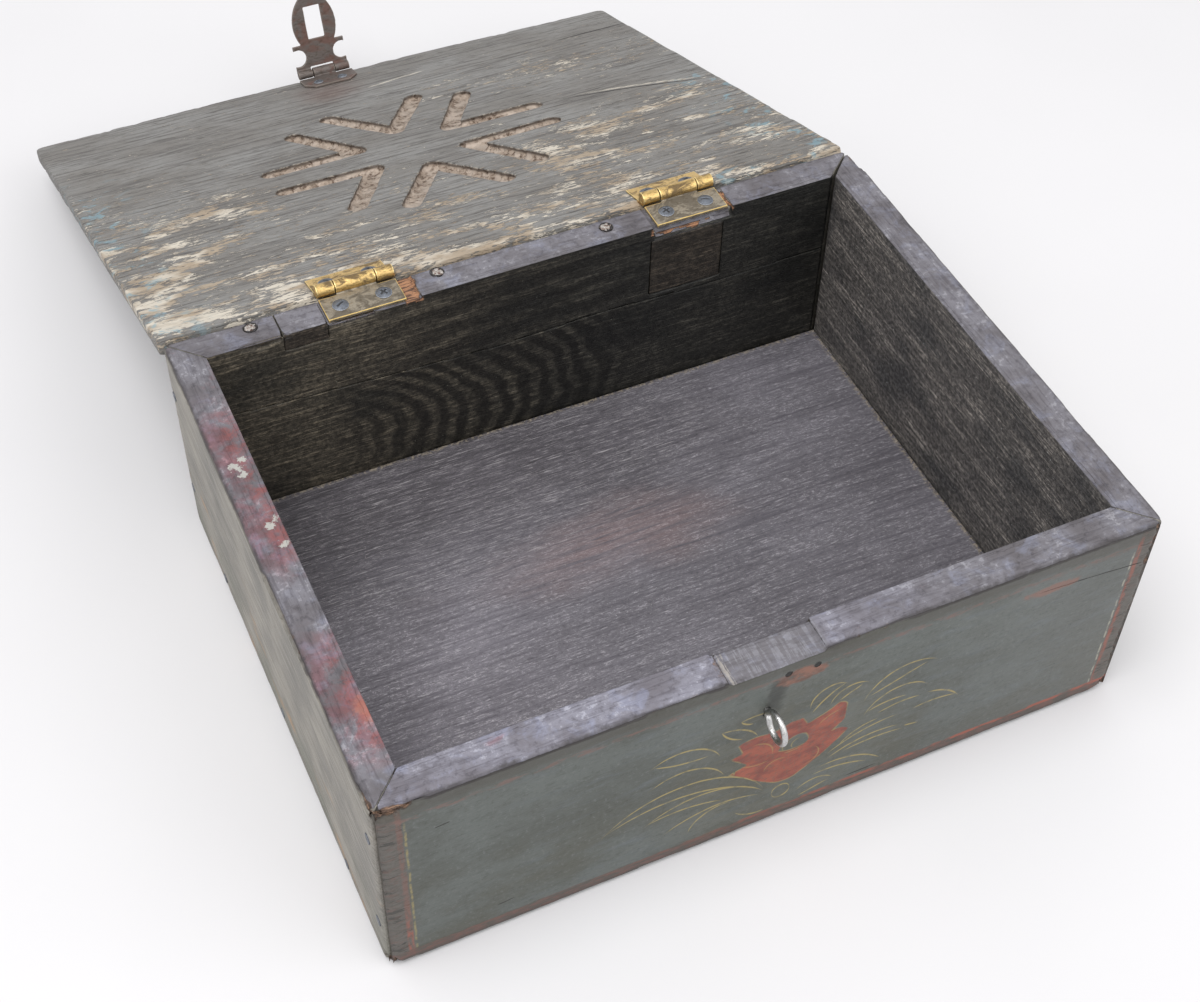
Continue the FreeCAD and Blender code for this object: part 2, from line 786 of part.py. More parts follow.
def carve(body):
    """Six carved V shapes round a middle. Each arm is a round-ended stroke; the two arms of
    one V are drawn and the rest is a pattern about the middle."""
    arms = []
    for index, way in enumerate((1, -1)):
        stroke = new_sketch(
            body, "XY_Plane", f"carved_stroke_{index}", offset=LID_UNDER,
            across="carving_across", along="lid_behind_pin - carving_from_edge",
        )
        lean = f"({way} * stroke_spread * 1 deg)"
        run_x = f"(stroke_tip * sin({lean}))"
        run_y = f"(stroke_tip * cos({lean}) - stroke_root)"
        run = f"sqrt({run_x} ^ 2 + {run_y} ^ 2)"
        side_x = f"({run_y} / {run} * stroke_width / 2)"
        side_y = f"({run_x} / {run} * stroke_width / 2)"
        outline(stroke, [
            (side_x, f"stroke_root - {side_y}"),
            (f"{run_x} + {side_x}", f"stroke_root + {run_y} - {side_y}", "left", "stroke_width * 0.501"),
            (f"{run_x} - {side_x}", f"stroke_root + {run_y} + {side_y}"),
            (f"-{side_x}", f"stroke_root + {side_y}", "left", "stroke_width * 0.501"),
        ])
        arms.append(pocket(body, stroke, "stroke_depth", reverse=True))
    wheel = body.newObject("PartDesign::PolarPattern", "carved_wheel")
    wheel.Originals = arms
    wheel.Axis = (stroke, ["N_Axis"])
    wheel.Angle = 360
    wheel.Occurrences = 6
    body.Tip = wheel
    doc.recompute()


# The hasp

def place_on_hasp(piece):
    """From the hasp's pin, in the closed lid's directions."""
    place_on_lid(piece, "0", f"-{HASP_REACH}", HASP_DROP)


def make_hasp_plate():
    """The plate under the lid's edge. Its middle knuckle carries the hasp's pin."""
    body = new_body("hasp_plate_blank")
    start = "hasp_middle - plate_width / 2"
    profile = new_sketch(body, "YZ_Plane", "hasp_plate_profile", offset=start)
    inner = "(plate_barrel_radius - plate_thickness)"
    meets = f"sqrt(plate_barrel_radius ^ 2 - {inner} ^ 2)"
    outline(profile, [
        ("plate_reach", "plate_barrel_radius"),
        ("0", "plate_barrel_radius", "left_large", "plate_barrel_radius"),
        (meets, inner),
        ("plate_reach", inner),
    ])
    pad(body, profile, "plate_width")
    clear_knuckles(
        body, "hasp_plate_gap",
        [("hasp_middle - plate_width / 2 - 1", "hasp_middle - plate_knuckle / 2"),
         ("hasp_middle + plate_knuckle / 2", "hasp_middle + plate_width / 2 + 1")],
        "-plate_barrel_radius - 1", "plate_barrel_radius + knuckle_gap", "plate_barrel_radius * 3",
    )
    bore(body, "hasp_plate_bore", "hasp_pin_radius", start + " - 1", "plate_width + 2")
    reach = number("plate_reach")
    middle = number("hasp_middle")
    half_width = number("plate_width / 2")
    dress(body, "Chamfer", "hasp_plate_clips", "plate_clip", lambda point: (
        point.y > reach - 0.01 and abs(abs(point.x - middle) - half_width) < 0.01
    ))
    place_on_hasp(body)
    return body


def make_hasp_tongue():
    """The hanging tongue: shoulders with a knuckle each, a waist bitten in from both sides,
    a pair of lugs and a shield with the slot for the staple."""
    body = new_body("hasp_tongue")
    start = "hasp_middle - shoulder_width / 2"
    profile = new_sketch(body, "YZ_Plane", "tongue_profile", offset=start)
    inner = "(tongue_barrel_radius - tongue_thickness)"
    meets = f"sqrt(tongue_barrel_radius ^ 2 - {inner} ^ 2)"
    outline(profile, [
        ("-tongue_barrel_radius", "-lug_reach"),
        (f"-{inner}", "-lug_reach"),
        (f"-{inner}", f"-{meets}", "left_large", "tongue_barrel_radius"),
        ("-tongue_barrel_radius", "0"),
    ])
    pad(body, profile, "shoulder_width")
    shield = new_sketch(body, "XZ_Plane", "tongue_shield", offset=inner)
    outline(shield, [
        ("hasp_middle - shield_root_width / 2", "-lug_reach + 0.5"),
        ("hasp_middle - shield_root_width / 2", "-lug_reach", "left", "shield_side_radius"),
        ("hasp_middle - neck_width / 2", "-shield_reach"),
        ("hasp_middle - finial_radius * 0.5", "-finial_reach"),
        ("hasp_middle + finial_radius * 0.5", "-finial_reach"),
        ("hasp_middle + neck_width / 2", "-shield_reach", "left", "shield_side_radius"),
        ("hasp_middle + shield_root_width / 2", "-lug_reach"),
        ("hasp_middle + shield_root_width / 2", "-lug_reach + 0.5"),
    ])
    pad(body, shield, "tongue_thickness")
    finial = new_sketch(body, "XZ_Plane", "tongue_finial", offset=inner)
    circle(finial, "hasp_middle", "-finial_reach", "finial_radius")
    pad(body, finial, "tongue_thickness")
    slot = new_sketch(body, "XZ_Plane", "tongue_slot", offset=f"{inner} - 1")
    rectangle(
        slot, "hasp_middle - slot_width / 2", "-slot_end",
        "hasp_middle + slot_width / 2", "-slot_start",
    )
    pocket(body, slot, "tongue_thickness + 2", reverse=True)
    for way, name in ((-1, "left_bite"), (1, "right_bite")):
        bite = new_sketch(body, "XZ_Plane", name, offset=f"{inner} - 1")
        circle(bite, f"hasp_middle + {way} * bite_apart / 2", "-bite_reach", "bite_radius")
        pocket(body, bite, "tongue_thickness + 2", reverse=True)
    gap = new_sketch(body, "XZ_Plane", "tongue_knuckle_gap")
    rectangle(
        gap, "hasp_middle - plate_knuckle / 2 - knuckle_gap", "-plate_barrel_radius - knuckle_gap",
        "hasp_middle + plate_knuckle / 2 + knuckle_gap", "plate_barrel_radius + 1",
    )
    pocket(body, gap, "plate_barrel_radius * 3", both_ways=True)
    bore(body, "tongue_bore", "hasp_pin_radius + pin_play", start + " - 1", "shoulder_width + 2")
    place_on_hasp(body)
    return body


def make_hasp_pin():
    pin = make_pin("hasp_pin", "hasp_pin_radius", "shoulder_width")
    back = f"-{HASP_REACH} * cos(open_angle * 1 deg) + {HASP_DROP} * sin(open_angle * 1 deg)"
    lift = f"{HASP_DROP} * cos(open_angle * 1 deg) + {HASP_REACH} * sin(open_angle * 1 deg)"
    place(
        pin,
        "hasp_middle - shoulder_width / 2 - box_width / 2",
        f"{PIN_BACK} - box_depth / 2 + {back}",
        f"{PIN_UP} + {lift}",
        Vector(0, 1, 0),
        "90",
    )
    return pin


def make_staple_eye():
    """One length of wire: a ring in front of the box, two legs through the board and their
    ends turned flat against the inside, one up and one down."""
    wire = number("wire_radius")
    ring = number("ring_radius")
    bend = number("leg_bend")
    leg = wire + number("leg_gap / 2")
    throat = math.sqrt((ring + bend) ** 2 - (leg + bend) ** 2)
    leg_start = throat - number("ring_out")
    inside = number("wall") + wire
    touch = ring / (ring + bend)

    def point(y_place, z_place):
        return Vector(0, y_place, z_place)

    def half_path(way):
        """From the ring's outermost point along one leg to its turned end."""
        centre = point(leg_start, way * (leg + bend))
        ring_middle = point(-number("ring_out"), 0)
        touches = ring_middle + (centre - ring_middle) * touch
        outermost = ring_middle + point(-ring, 0)
        over = ring_middle + point(0, way * ring)
        turn = bend * math.sqrt(0.5)
        at_throat = centre + (ring_middle - centre).normalize() * bend
        half_turn = (at_throat - centre + point(0, -way * bend)).normalize() * bend
        corner = point(inside - bend, way * (leg + bend))
        return [
            Part.Arc(outermost, over, touches).toShape(),
            Part.Arc(touches, centre + half_turn, point(leg_start, way * leg)).toShape(),
            Part.LineSegment(point(leg_start, way * leg), point(inside - bend, way * leg)).toShape(),
            Part.Arc(
                point(inside - bend, way * leg),
                corner + point(turn, -way * turn),
                point(inside, way * (leg + bend)),
            ).toShape(),
            Part.LineSegment(
                point(inside, way * (leg + bend)), point(inside, way * number("clinch_length"))
            ).toShape(),
        ]

    halves = []
    for way in (1, -1):
        path = Part.Wire(half_path(way))
        outermost = point(-number("ring_out") - ring, 0)
        section = Part.Wire(Part.makeCircle(wire, outermost, Vector(0, 0, 1)))
        halves.append(path.makePipeShell([section], True, False))
    eye = doc.addObject("Part::Feature", "staple_eye")
    eye.Label = "staple_eye"
    eye.Shape = halves[0].fuse(halves[1]).removeSplitter()
    place_on_box(eye, "hasp_middle", "0", "ring_height")
    return eye


# Assembly

nail = nail_pattern()
corner_nails = make_corner_nails(nail)
floor_nails = make_floor_nails(nail)
screw_hole_plugs = make_plugs()
box_hinge_screws = make_box_hinge_screws()
lid_hinge_screws = make_lid_hinge_screws()
hasp_screws = make_hasp_screws()
staple_eye = make_staple_eye()

pieces = [
    corner_nails,
    floor_nails,
    screw_hole_plugs,
    box_hinge_screws,
    lid_hinge_screws,
    hasp_screws,
    staple_eye,
    make_rim_patch(),
    make_back_wall_patch(),
    make_hasp_tongue(),
    make_hasp_pin(),
    make_hinge_pin("hinge_left_pin", "hinge_left"),
    make_hinge_pin("hinge_right_pin", "hinge_right"),
    cut_by("front_board", make_front_board(), [corner_nails, staple_eye]),
    cut_by(
        "left_side_board",
        make_side_board("left_side_board", "-90", "-box_width / 2", "box_depth / 2"),
        [corner_nails, floor_nails],
    ),
    cut_by(
        "right_side_board",
        make_side_board("right_side_board", "90", "box_width / 2", "-box_depth / 2"),
        [corner_nails, floor_nails],
    ),
    cut_by("back_board_lower", make_back_board_lower(), [corner_nails]),
    cut_by("back_board_upper", make_back_board_upper(), [corner_nails, screw_hole_plugs, box_hinge_screws]),
    cut_by("floor_board", make_floor_board(), [floor_nails]),
    cut_by("lid_board", make_lid_board(), [lid_hinge_screws, hasp_screws]),
    cut_by("hasp_plate", make_hasp_plate(), [hasp_screws]),
]
for side in ("left", "right"):
    leaf = f"hinge_{side}_box_leaf"
    pieces.append(cut_by(leaf, make_box_leaf(leaf, f"hinge_{side}"), [box_hinge_screws]))
    leaf = f"hinge_{side}_lid_leaf"
    pieces.append(cut_by(leaf, make_lid_leaf(leaf, f"hinge_{side}"), [lid_hinge_screws]))
doc.recompute()

for item in doc.Objects:
    if "Invalid" in item.State or "Error" in item.State:
        raise RuntimeError(item.Label + " failed")
for piece in pieces:
    if piece.Shape.isNull() or not piece.Shape.isValid():
        raise RuntimeError(piece.Label + " has no valid shape")

os.makedirs("parts", exist_ok=True)
for piece in pieces:
    piece.Shape.exportStep(f"parts/{piece.Label}.step")
    print(piece.Label, len(piece.Shape.Solids), round(piece.Shape.Volume, 1))
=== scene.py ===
import itertools
import json
import math

import bpy
import numpy as np
from mathutils import Matrix, Vector


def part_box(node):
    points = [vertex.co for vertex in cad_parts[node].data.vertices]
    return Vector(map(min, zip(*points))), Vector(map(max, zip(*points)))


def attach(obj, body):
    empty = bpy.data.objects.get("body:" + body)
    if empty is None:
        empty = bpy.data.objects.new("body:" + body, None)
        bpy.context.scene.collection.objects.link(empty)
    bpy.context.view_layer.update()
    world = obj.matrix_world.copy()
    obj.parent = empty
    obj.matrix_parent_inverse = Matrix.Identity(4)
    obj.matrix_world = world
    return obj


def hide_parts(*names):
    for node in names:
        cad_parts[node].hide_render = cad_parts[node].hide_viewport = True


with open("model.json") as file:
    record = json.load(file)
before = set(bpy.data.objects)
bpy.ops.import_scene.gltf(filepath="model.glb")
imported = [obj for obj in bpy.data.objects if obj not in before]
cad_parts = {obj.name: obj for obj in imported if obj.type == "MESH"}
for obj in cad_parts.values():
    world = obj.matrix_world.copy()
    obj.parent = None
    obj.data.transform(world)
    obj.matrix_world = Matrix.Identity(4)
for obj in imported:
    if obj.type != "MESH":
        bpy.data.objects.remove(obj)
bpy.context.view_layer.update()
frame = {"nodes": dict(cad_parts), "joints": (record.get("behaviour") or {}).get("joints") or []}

bl_info = {
    "name": "Antique Candle Box",
    "version": (1, 0, 0),
    "blender": (4, 5, 0),
    "location": "View3D > Sidebar > Candle Box",
    "description": "Dresses a worn, painted candle box with an open carved lid",
    "category": "Add Mesh",
}


# Places. The box is worked in mm from its front left foot corner, the lid in mm from its hinge line.

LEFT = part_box("left_side_board")[0].x * 1000
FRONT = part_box("front_board")[0].y * 1000
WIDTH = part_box("right_side_board")[1].x * 1000 - LEFT
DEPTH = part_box("back_board_lower")[1].y * 1000 - FRONT
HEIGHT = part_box("front_board")[1].z * 1000
CORNER = np.array((LEFT, FRONT, 0.0))

LID_HINGE = next(joint for joint in frame["joints"] if joint["name"] == "lid_hinge")
PIN = Vector(LID_HINGE["pos_m"])
OPEN_TURN = math.radians(198)   # the lid as it is stored, measured from closed
LID_TO_FLAT = Matrix.Rotation(OPEN_TURN, 4, "X") @ Matrix.Translation(-PIN)
FLAT_TO_LID = LID_TO_FLAT.inverted()

WALL = 12.4                     # from the outside to where the floor's dust starts
INNER_FROM = (9.5, 11.2)        # from the outside to where the dark inner stain starts and is full
MITRE_SWELL = 0.14              # how far the hidden faces of a mitre stand out, so that it looks shut
CARVING_MIDDLE = (121.9, 103.4)  # along the lid and up it from the hinge line
CARVING_REACH = 82
HASP_SCREWS = (5.2, 196.9)      # from the hasp's middle, and up the lid

# The studio. The camera stands where the photograph's did: m, degrees about x, y and z, and mm.
CAMERA_PLACE = (-0.1888, -0.3566, 0.5076)
CAMERA_TURN = (41.31, -1.12, -24.7)
CAMERA_LENS = 57.4
ROOM_LIGHT = 0.66
BACKGROUND_LIGHT = 0.92


def seen(red, green, blue):
    """A colour as it is seen, from 0 to 255 a channel, in the linear values that Blender works with."""
    return tuple(((c / 255 + 0.055) / 1.055) ** 2.4 for c in (red, green, blue))


def shade(name, about, *colour):
    """A colour property with its default given as it is seen."""
    return bpy.props.FloatVectorProperty(
        name=name, description=about, default=seen(*colour), subtype="COLOR", min=0, max=1, size=3
    )


def length(name, about, mm, least=0.0):
    """A length property with its default in mm."""
    return bpy.props.FloatProperty(
        name=name, description=about, default=mm / 1000, min=least, unit="LENGTH", precision=5
    )


class CandleBoxSizes(bpy.types.PropertyGroup):
    """Sizes that a user may change."""

    board_skin: length("Board skin", "Size of the small faces of a worn board", 0.62, 0.0004)
    small_skin: length("Small skin", "Size of the small faces of the let-in patches", 0.4, 0.0003)
    metal_skin: length("Metal skin", "Size of the small faces of the worn metal", 0.22, 0.0001)
    lid_skin: length("Lid skin", "Size of the small faces of the worn lid", 0.8, 0.0004)
    edge_wear: length("Edge wear", "How deep the knocks along the outer edges go", 0.4)
    edge_round: length("Edge rounding", "Radius of the worn outer edges", 1.7)
    face_wear: length("Face wear", "How uneven the old board faces are", 0.16)
    line_width: length("Brush line", "Width of the painted leaf lines at their middle", 0.62)
    gouge_roughness: length("Gouge roughness", "How rough the floors of the carved strokes are", 0.75)
    table_size: length("Table size", "Side of the pale table", 5000)


class CandleBoxColours(bpy.types.PropertyGroup):
    """Colours that a user may change."""

    panel: shade("Front panel", "Grey-green paint of the front", 97, 102, 99)
    panel_dark: shade("Front panel shade", "Darker passages of the front paint", 80, 83, 78)
    border: shade("Border", "Brown-red paint along the front's edges", 110, 78, 70)
    border_line: shade("Border line", "Red line inside the border", 164, 88, 70)
    red_paint: shade("Red paint", "Orange-red of the flower and stripes", 160, 82, 62)
    ochre: shade("Ochre", "Yellow lines of leaves and border", 170, 152, 94)
    cream: shade("Cream", "Cream lines and rubbed wood", 224, 215, 200)
    rim: shade("Rim", "Worn grey of the upper edges", 124, 122, 129)
    rim_dark: shade("Rim shade", "Dark passages of the upper edges", 98, 94, 98)
    rim_pink: shade("Rim pink", "Old red paint showing on the upper edges", 134, 96, 98)
    side: shade("Side", "Weathered tan of the outer sides", 152, 147, 138)
    side_dark: shade("Side shade", "Grey passages of the outer sides", 124, 121, 115)
    raw: shade("Raw wood", "Broken wood", 188, 138, 104)
    inside: shade("Inside", "Dark stained inner faces", 54, 49, 44)
    inside_light: shade("Inside grain", "Lighter grain of the inner faces", 104, 94, 83)
    bottom: shade("Inner floor", "Dark violet grey of the floor board", 122, 119, 126)
    bottom_light: shade("Floor grain", "Rubbed grain of the floor board", 196, 192, 198)
    lid: shade("Lid", "Grey of the lid's inner face", 142, 141, 139)
    lid_dark: shade("Lid shade", "Dark grain of the lid", 96, 93, 91)
    blue: shade("Old blue", "Traces of light blue paint on the lid", 132, 168, 182)
    gouge: shade("Gouged wood", "Pale raw wood in the carved strokes", 200, 182, 166)
    gouge_dark: shade("Gouged wood shade", "Brown raw wood in the carved strokes", 98, 76, 60)
    brass: shade("Brass", "Aged golden brass", 218, 186, 124)
    brass_dull: shade("Dull brass", "Darkened brass of the hinge plates", 156, 147, 132)
    steel: shade("Steel", "Grey steel of the screw heads", 112, 117, 126)
    wire: shade("Wire", "Bright steel of the eye", 200, 200, 200)
    iron: shade("Iron", "Dark grey-brown iron of the hasp", 110, 102, 98)
    rust: shade("Rust", "Reddish rust on the hasp", 110, 82, 74)
    table: shade("Table", "Pale table top", 231, 230, 232)


# Meshes

def pick(piece):
    """Only this piece is selected, and it is the active one."""
    bpy.ops.object.select_all(action="DESELECT")
    piece.select_set(True)
    bpy.context.view_layer.objects.active = piece


def finish_with(piece, name, kind, **settings):
    """Adds a modifier and applies it."""
    modifier = piece.modifiers.new(name, kind)
    for key, value in settings.items():
        setattr(modifier, key, value)
    pick(piece)
    bpy.ops.object.modifier_apply(modifier=modifier.name)


def skin_of(node, name, size, turn=None):
    """A frame node's form with an even skin of small faces, which wear can be worked into."""
    piece = bpy.data.objects.new(name, frame["nodes"][node].data.copy())
    bpy.context.collection.objects.link(piece)
    piece.data.materials.clear()
    if turn is not None:
        piece.data.transform(turn)
    pick(piece)
    bpy.ops.object.mode_set(mode="EDIT")
    bpy.ops.mesh.select_all(action="SELECT")
    bpy.ops.mesh.remove_doubles(threshold=0.000001)
    bpy.ops.object.mode_set(mode="OBJECT")
    finish_with(piece, "Even skin", "REMESH", mode="VOXEL", voxel_size=size, use_smooth_shade=True)
    return piece


def read(piece, what="co"):
    """Points in mm, or normals, of a piece."""
    rows = piece.data.vertices if what == "co" else piece.data.vertex_normals
    values = np.empty(len(piece.data.vertices) * 3, np.float32)
    rows.foreach_get("co" if what == "co" else "vector", values)
    values = values.reshape(-1, 3).astype(float)
    return values * 1000 - CORNER if what == "co" else values


def write(piece, points):
    """Puts changed points back."""
    values = ((points + CORNER) / 1000).astype(np.float32)
    piece.data.vertices.foreach_set("co", values.ravel())
    piece.data.update()


def mark(piece, name, values):
    """Keeps a value for each point, which the materials read."""
    layer = piece.data.attributes.get(name) or piece.data.attributes.new(name, "FLOAT", "POINT")
    layer.data.foreach_set("value", np.asarray(values, np.float32))


def slim(piece, most=190000):
    """Takes faces out of the flattest places until the piece has at most so many triangles."""
    piece.data.calc_loop_triangles()
    count = len(piece.data.loop_triangles)
    if count > most:
        finish_with(piece, "Slim", "DECIMATE", ratio=most / count)
    for face in piece.data.polygons:
        face.use_smooth = True


def wavy(points, seed):
    """Smooth random values from -1 to 1, changing over about one unit."""
    cell = np.floor(points).astype(np.int64)
    part = points - cell
    part = part * part * (3 - 2 * part)
    total = np.zeros(len(points))
    for corner in itertools.product((0, 1), repeat=3):
        key = (cell + corner) @ np.array((73856093, 19349663, 83492791)) + seed * 9781
        key = (key ^ (key >> 13)) * 1274126177 & 0x7FFFFFFF
        key = (key ^ (key >> 15)) * 73856093 & 0x7FFFFFFF
        weight = np.prod(np.where(corner, part, 1 - part), axis=1)
        total += weight * ((key & 0xFFFF) / 32767.5 - 1)
    return total


def rise(values, low, high):
    """0 below low, 1 above high, and a smooth step in between."""
    share = np.clip((values - low) / (high - low), 0, 1)
    return share * share * (3 - 2 * share)


def edge_distance(points):
    """Distance in mm to the nearest outer edge of the box."""
    gaps = np.sort([gap for axis, size in enumerate((WIDTH, DEPTH, HEIGHT))
                    for gap in (points[:, axis], size - points[:, axis])], axis=0)
    return np.hypot(gaps[0], gaps[1])


# Knocked-off places: middle in mm, reach along x, y and z in mm, depth in mm.
KNOCKS = (
    ((5, -0.4, 81.4), (10, 3.4, 3.4), 2.2),
    ((-0.4, 4, 82.4), (2.6, 7, 2.6), 1.5),
    ((250, 0, 0), (6, 6, 7), 1.8),
    ((249.6, 0.4, 68), (3, 3, 20), 0.8),
    ((250, 0.4, 26), (3, 3, 26), 0.7),
    ((88, 0, 82), (14, 2.4, 1.8), 0.6),
    ((152, 0, 82), (16, 2.4, 1.8), 0.6),
    ((0, 70, 82), (2.4, 20, 2.4), 0.7),
    ((0.6, 1, 2), (3, 3, 4), 1.1),
    ((30, 179.6, 82), (12, 2.4, 2.4), 0.6),
    ((60, 179.4, 82), (10, 2.2, 2.2), 0.8),
    ((250, 186, 82), (3, 8, 2.4), 0.8),
    ((105, 5, 82.4), (2.2, 9, 1.6), 0.7),
)
# Bare wood: lowest and highest corner in mm, in the mortises and in the split under the right hinge.
BARE = (
    ((78.6, 178, 80), (85, 192, 81.9)),
    ((167, 178, 78.3), (190, 180.6, 81.9)),
    ((196, 178, 80), (199, 192, 81.9)),
)


def weather(piece, edge_wear, edge_round, face_wear):
    """Works uneven faces, knocked edges and breaks into a board of the box, and marks them for the paint."""
    points = read(piece)
    normals = read(piece, "normal")
    edge = edge_distance(points)
    rough = wavy(points / 2.6, 5)
    inward = face_wear * (1 + wavy(points / 22, 1)) / 2
    inward += 0.25 * face_wear * (1 + rough)
    knock = np.clip(wavy(points / 7, 3) * 1.5 + wavy(points / 2.2, 4) * 0.4 - 0.2, 0, 1)
    inward += edge_wear * knock * rise(3.2 - edge, 0, 3.2)
    radius = edge_round * (0.8 + 0.3 * wavy(points / 19, 8))
    off = np.clip(radius - edge, 0, None)
    inward += np.minimum(radius - np.sqrt(radius ** 2 - off ** 2), radius * 0.42)
    broken = np.zeros(len(points))
    for middle, reach, depth in KNOCKS:
        away = np.linalg.norm((points - middle) / reach, axis=1)
        share = rise(1.15 - away + 0.28 * wavy(points / (6, 1.6, 1.6), 7) + 0.12 * rough, 0, 0.5)
        inward += depth * share
        broken = np.maximum(broken, share * min(0.8, depth / 1.8))
    for low, high in BARE:
        frayed = points + rough[:, None] * (0, 0, 0.9)
        within = np.all((frayed > low) & (frayed < high), axis=1)
        broken = np.where(within, 1.0, broken)
        inward += np.where(within, 0.12 * (1 + rough), 0)
    gaps = np.minimum(
        np.minimum(points[:, 0], WIDTH - points[:, 0]), np.minimum(points[:, 1], DEPTH - points[:, 1])
    )
    slanted = (np.abs(normals[:, 2]) < 0.3) & (np.abs(np.abs(normals[:, 0]) - np.abs(normals[:, 1])) < 0.35)
    closed = slanted & (edge > 1.5) & (points[:, 0] + points[:, 1] < WIDTH + DEPTH - 40)
    inward = np.where(closed, -MITRE_SWELL, inward)
    write(piece, points - normals * inward[:, None])
    mark(piece, "edge", edge)
    mark(piece, "broken", broken)
    mark(piece, "rim", rise(normals[:, 2], 0.45, 0.75) * (points[:, 2] > HEIGHT - 6))
    mark(piece, "inner", rise(gaps, *INNER_FROM))


def spots_of(node):
    """Middle in mm of each loose solid of a frame node, seen from above."""
    mesh = frame["nodes"][node].data
    heights = [vertex.co.z for vertex in mesh.vertices]
    top = max(heights) - 0.00005
    flat = np.array([vertex.co[:2] for vertex in mesh.vertices if vertex.co.z > top]) * 1000 - CORNER[:2]
    spots = []
    for place in flat:
        near = [spot for spot in spots if np.linalg.norm(spot[0] - place) < 8]
        if near:
            near[0].append(place)
        else:
            spots.append([place])
    return [tuple((np.min(spot, axis=0) + np.max(spot, axis=0)) / 2) for spot in spots]


def off_outline(points, outline):
    """Signed distance in mm of flat points to a closed outline, negative inside."""
    best = np.full(len(points), 1e9)
    inside = np.zeros(len(points), bool)
    for start, end in zip(outline, outline[1:] + outline[:1]):
        start, end = np.array(start, float), np.array(end, float)
        run = end - start
        share = np.clip(((points - start) @ run) / (run @ run), 0, 1)
        best = np.minimum(best, np.linalg.norm(points - start - share[:, None] * run, axis=1))
        crosses = (start[1] > points[:, 1]) != (end[1] > points[:, 1])
        level = start[0] + (points[:, 1] - start[1]) * run[0] / (run[1] if run[1] else 1e-9)
        inside ^= crosses & (points[:, 0] < level)
    return np.where(inside, -best, best)


# Materials

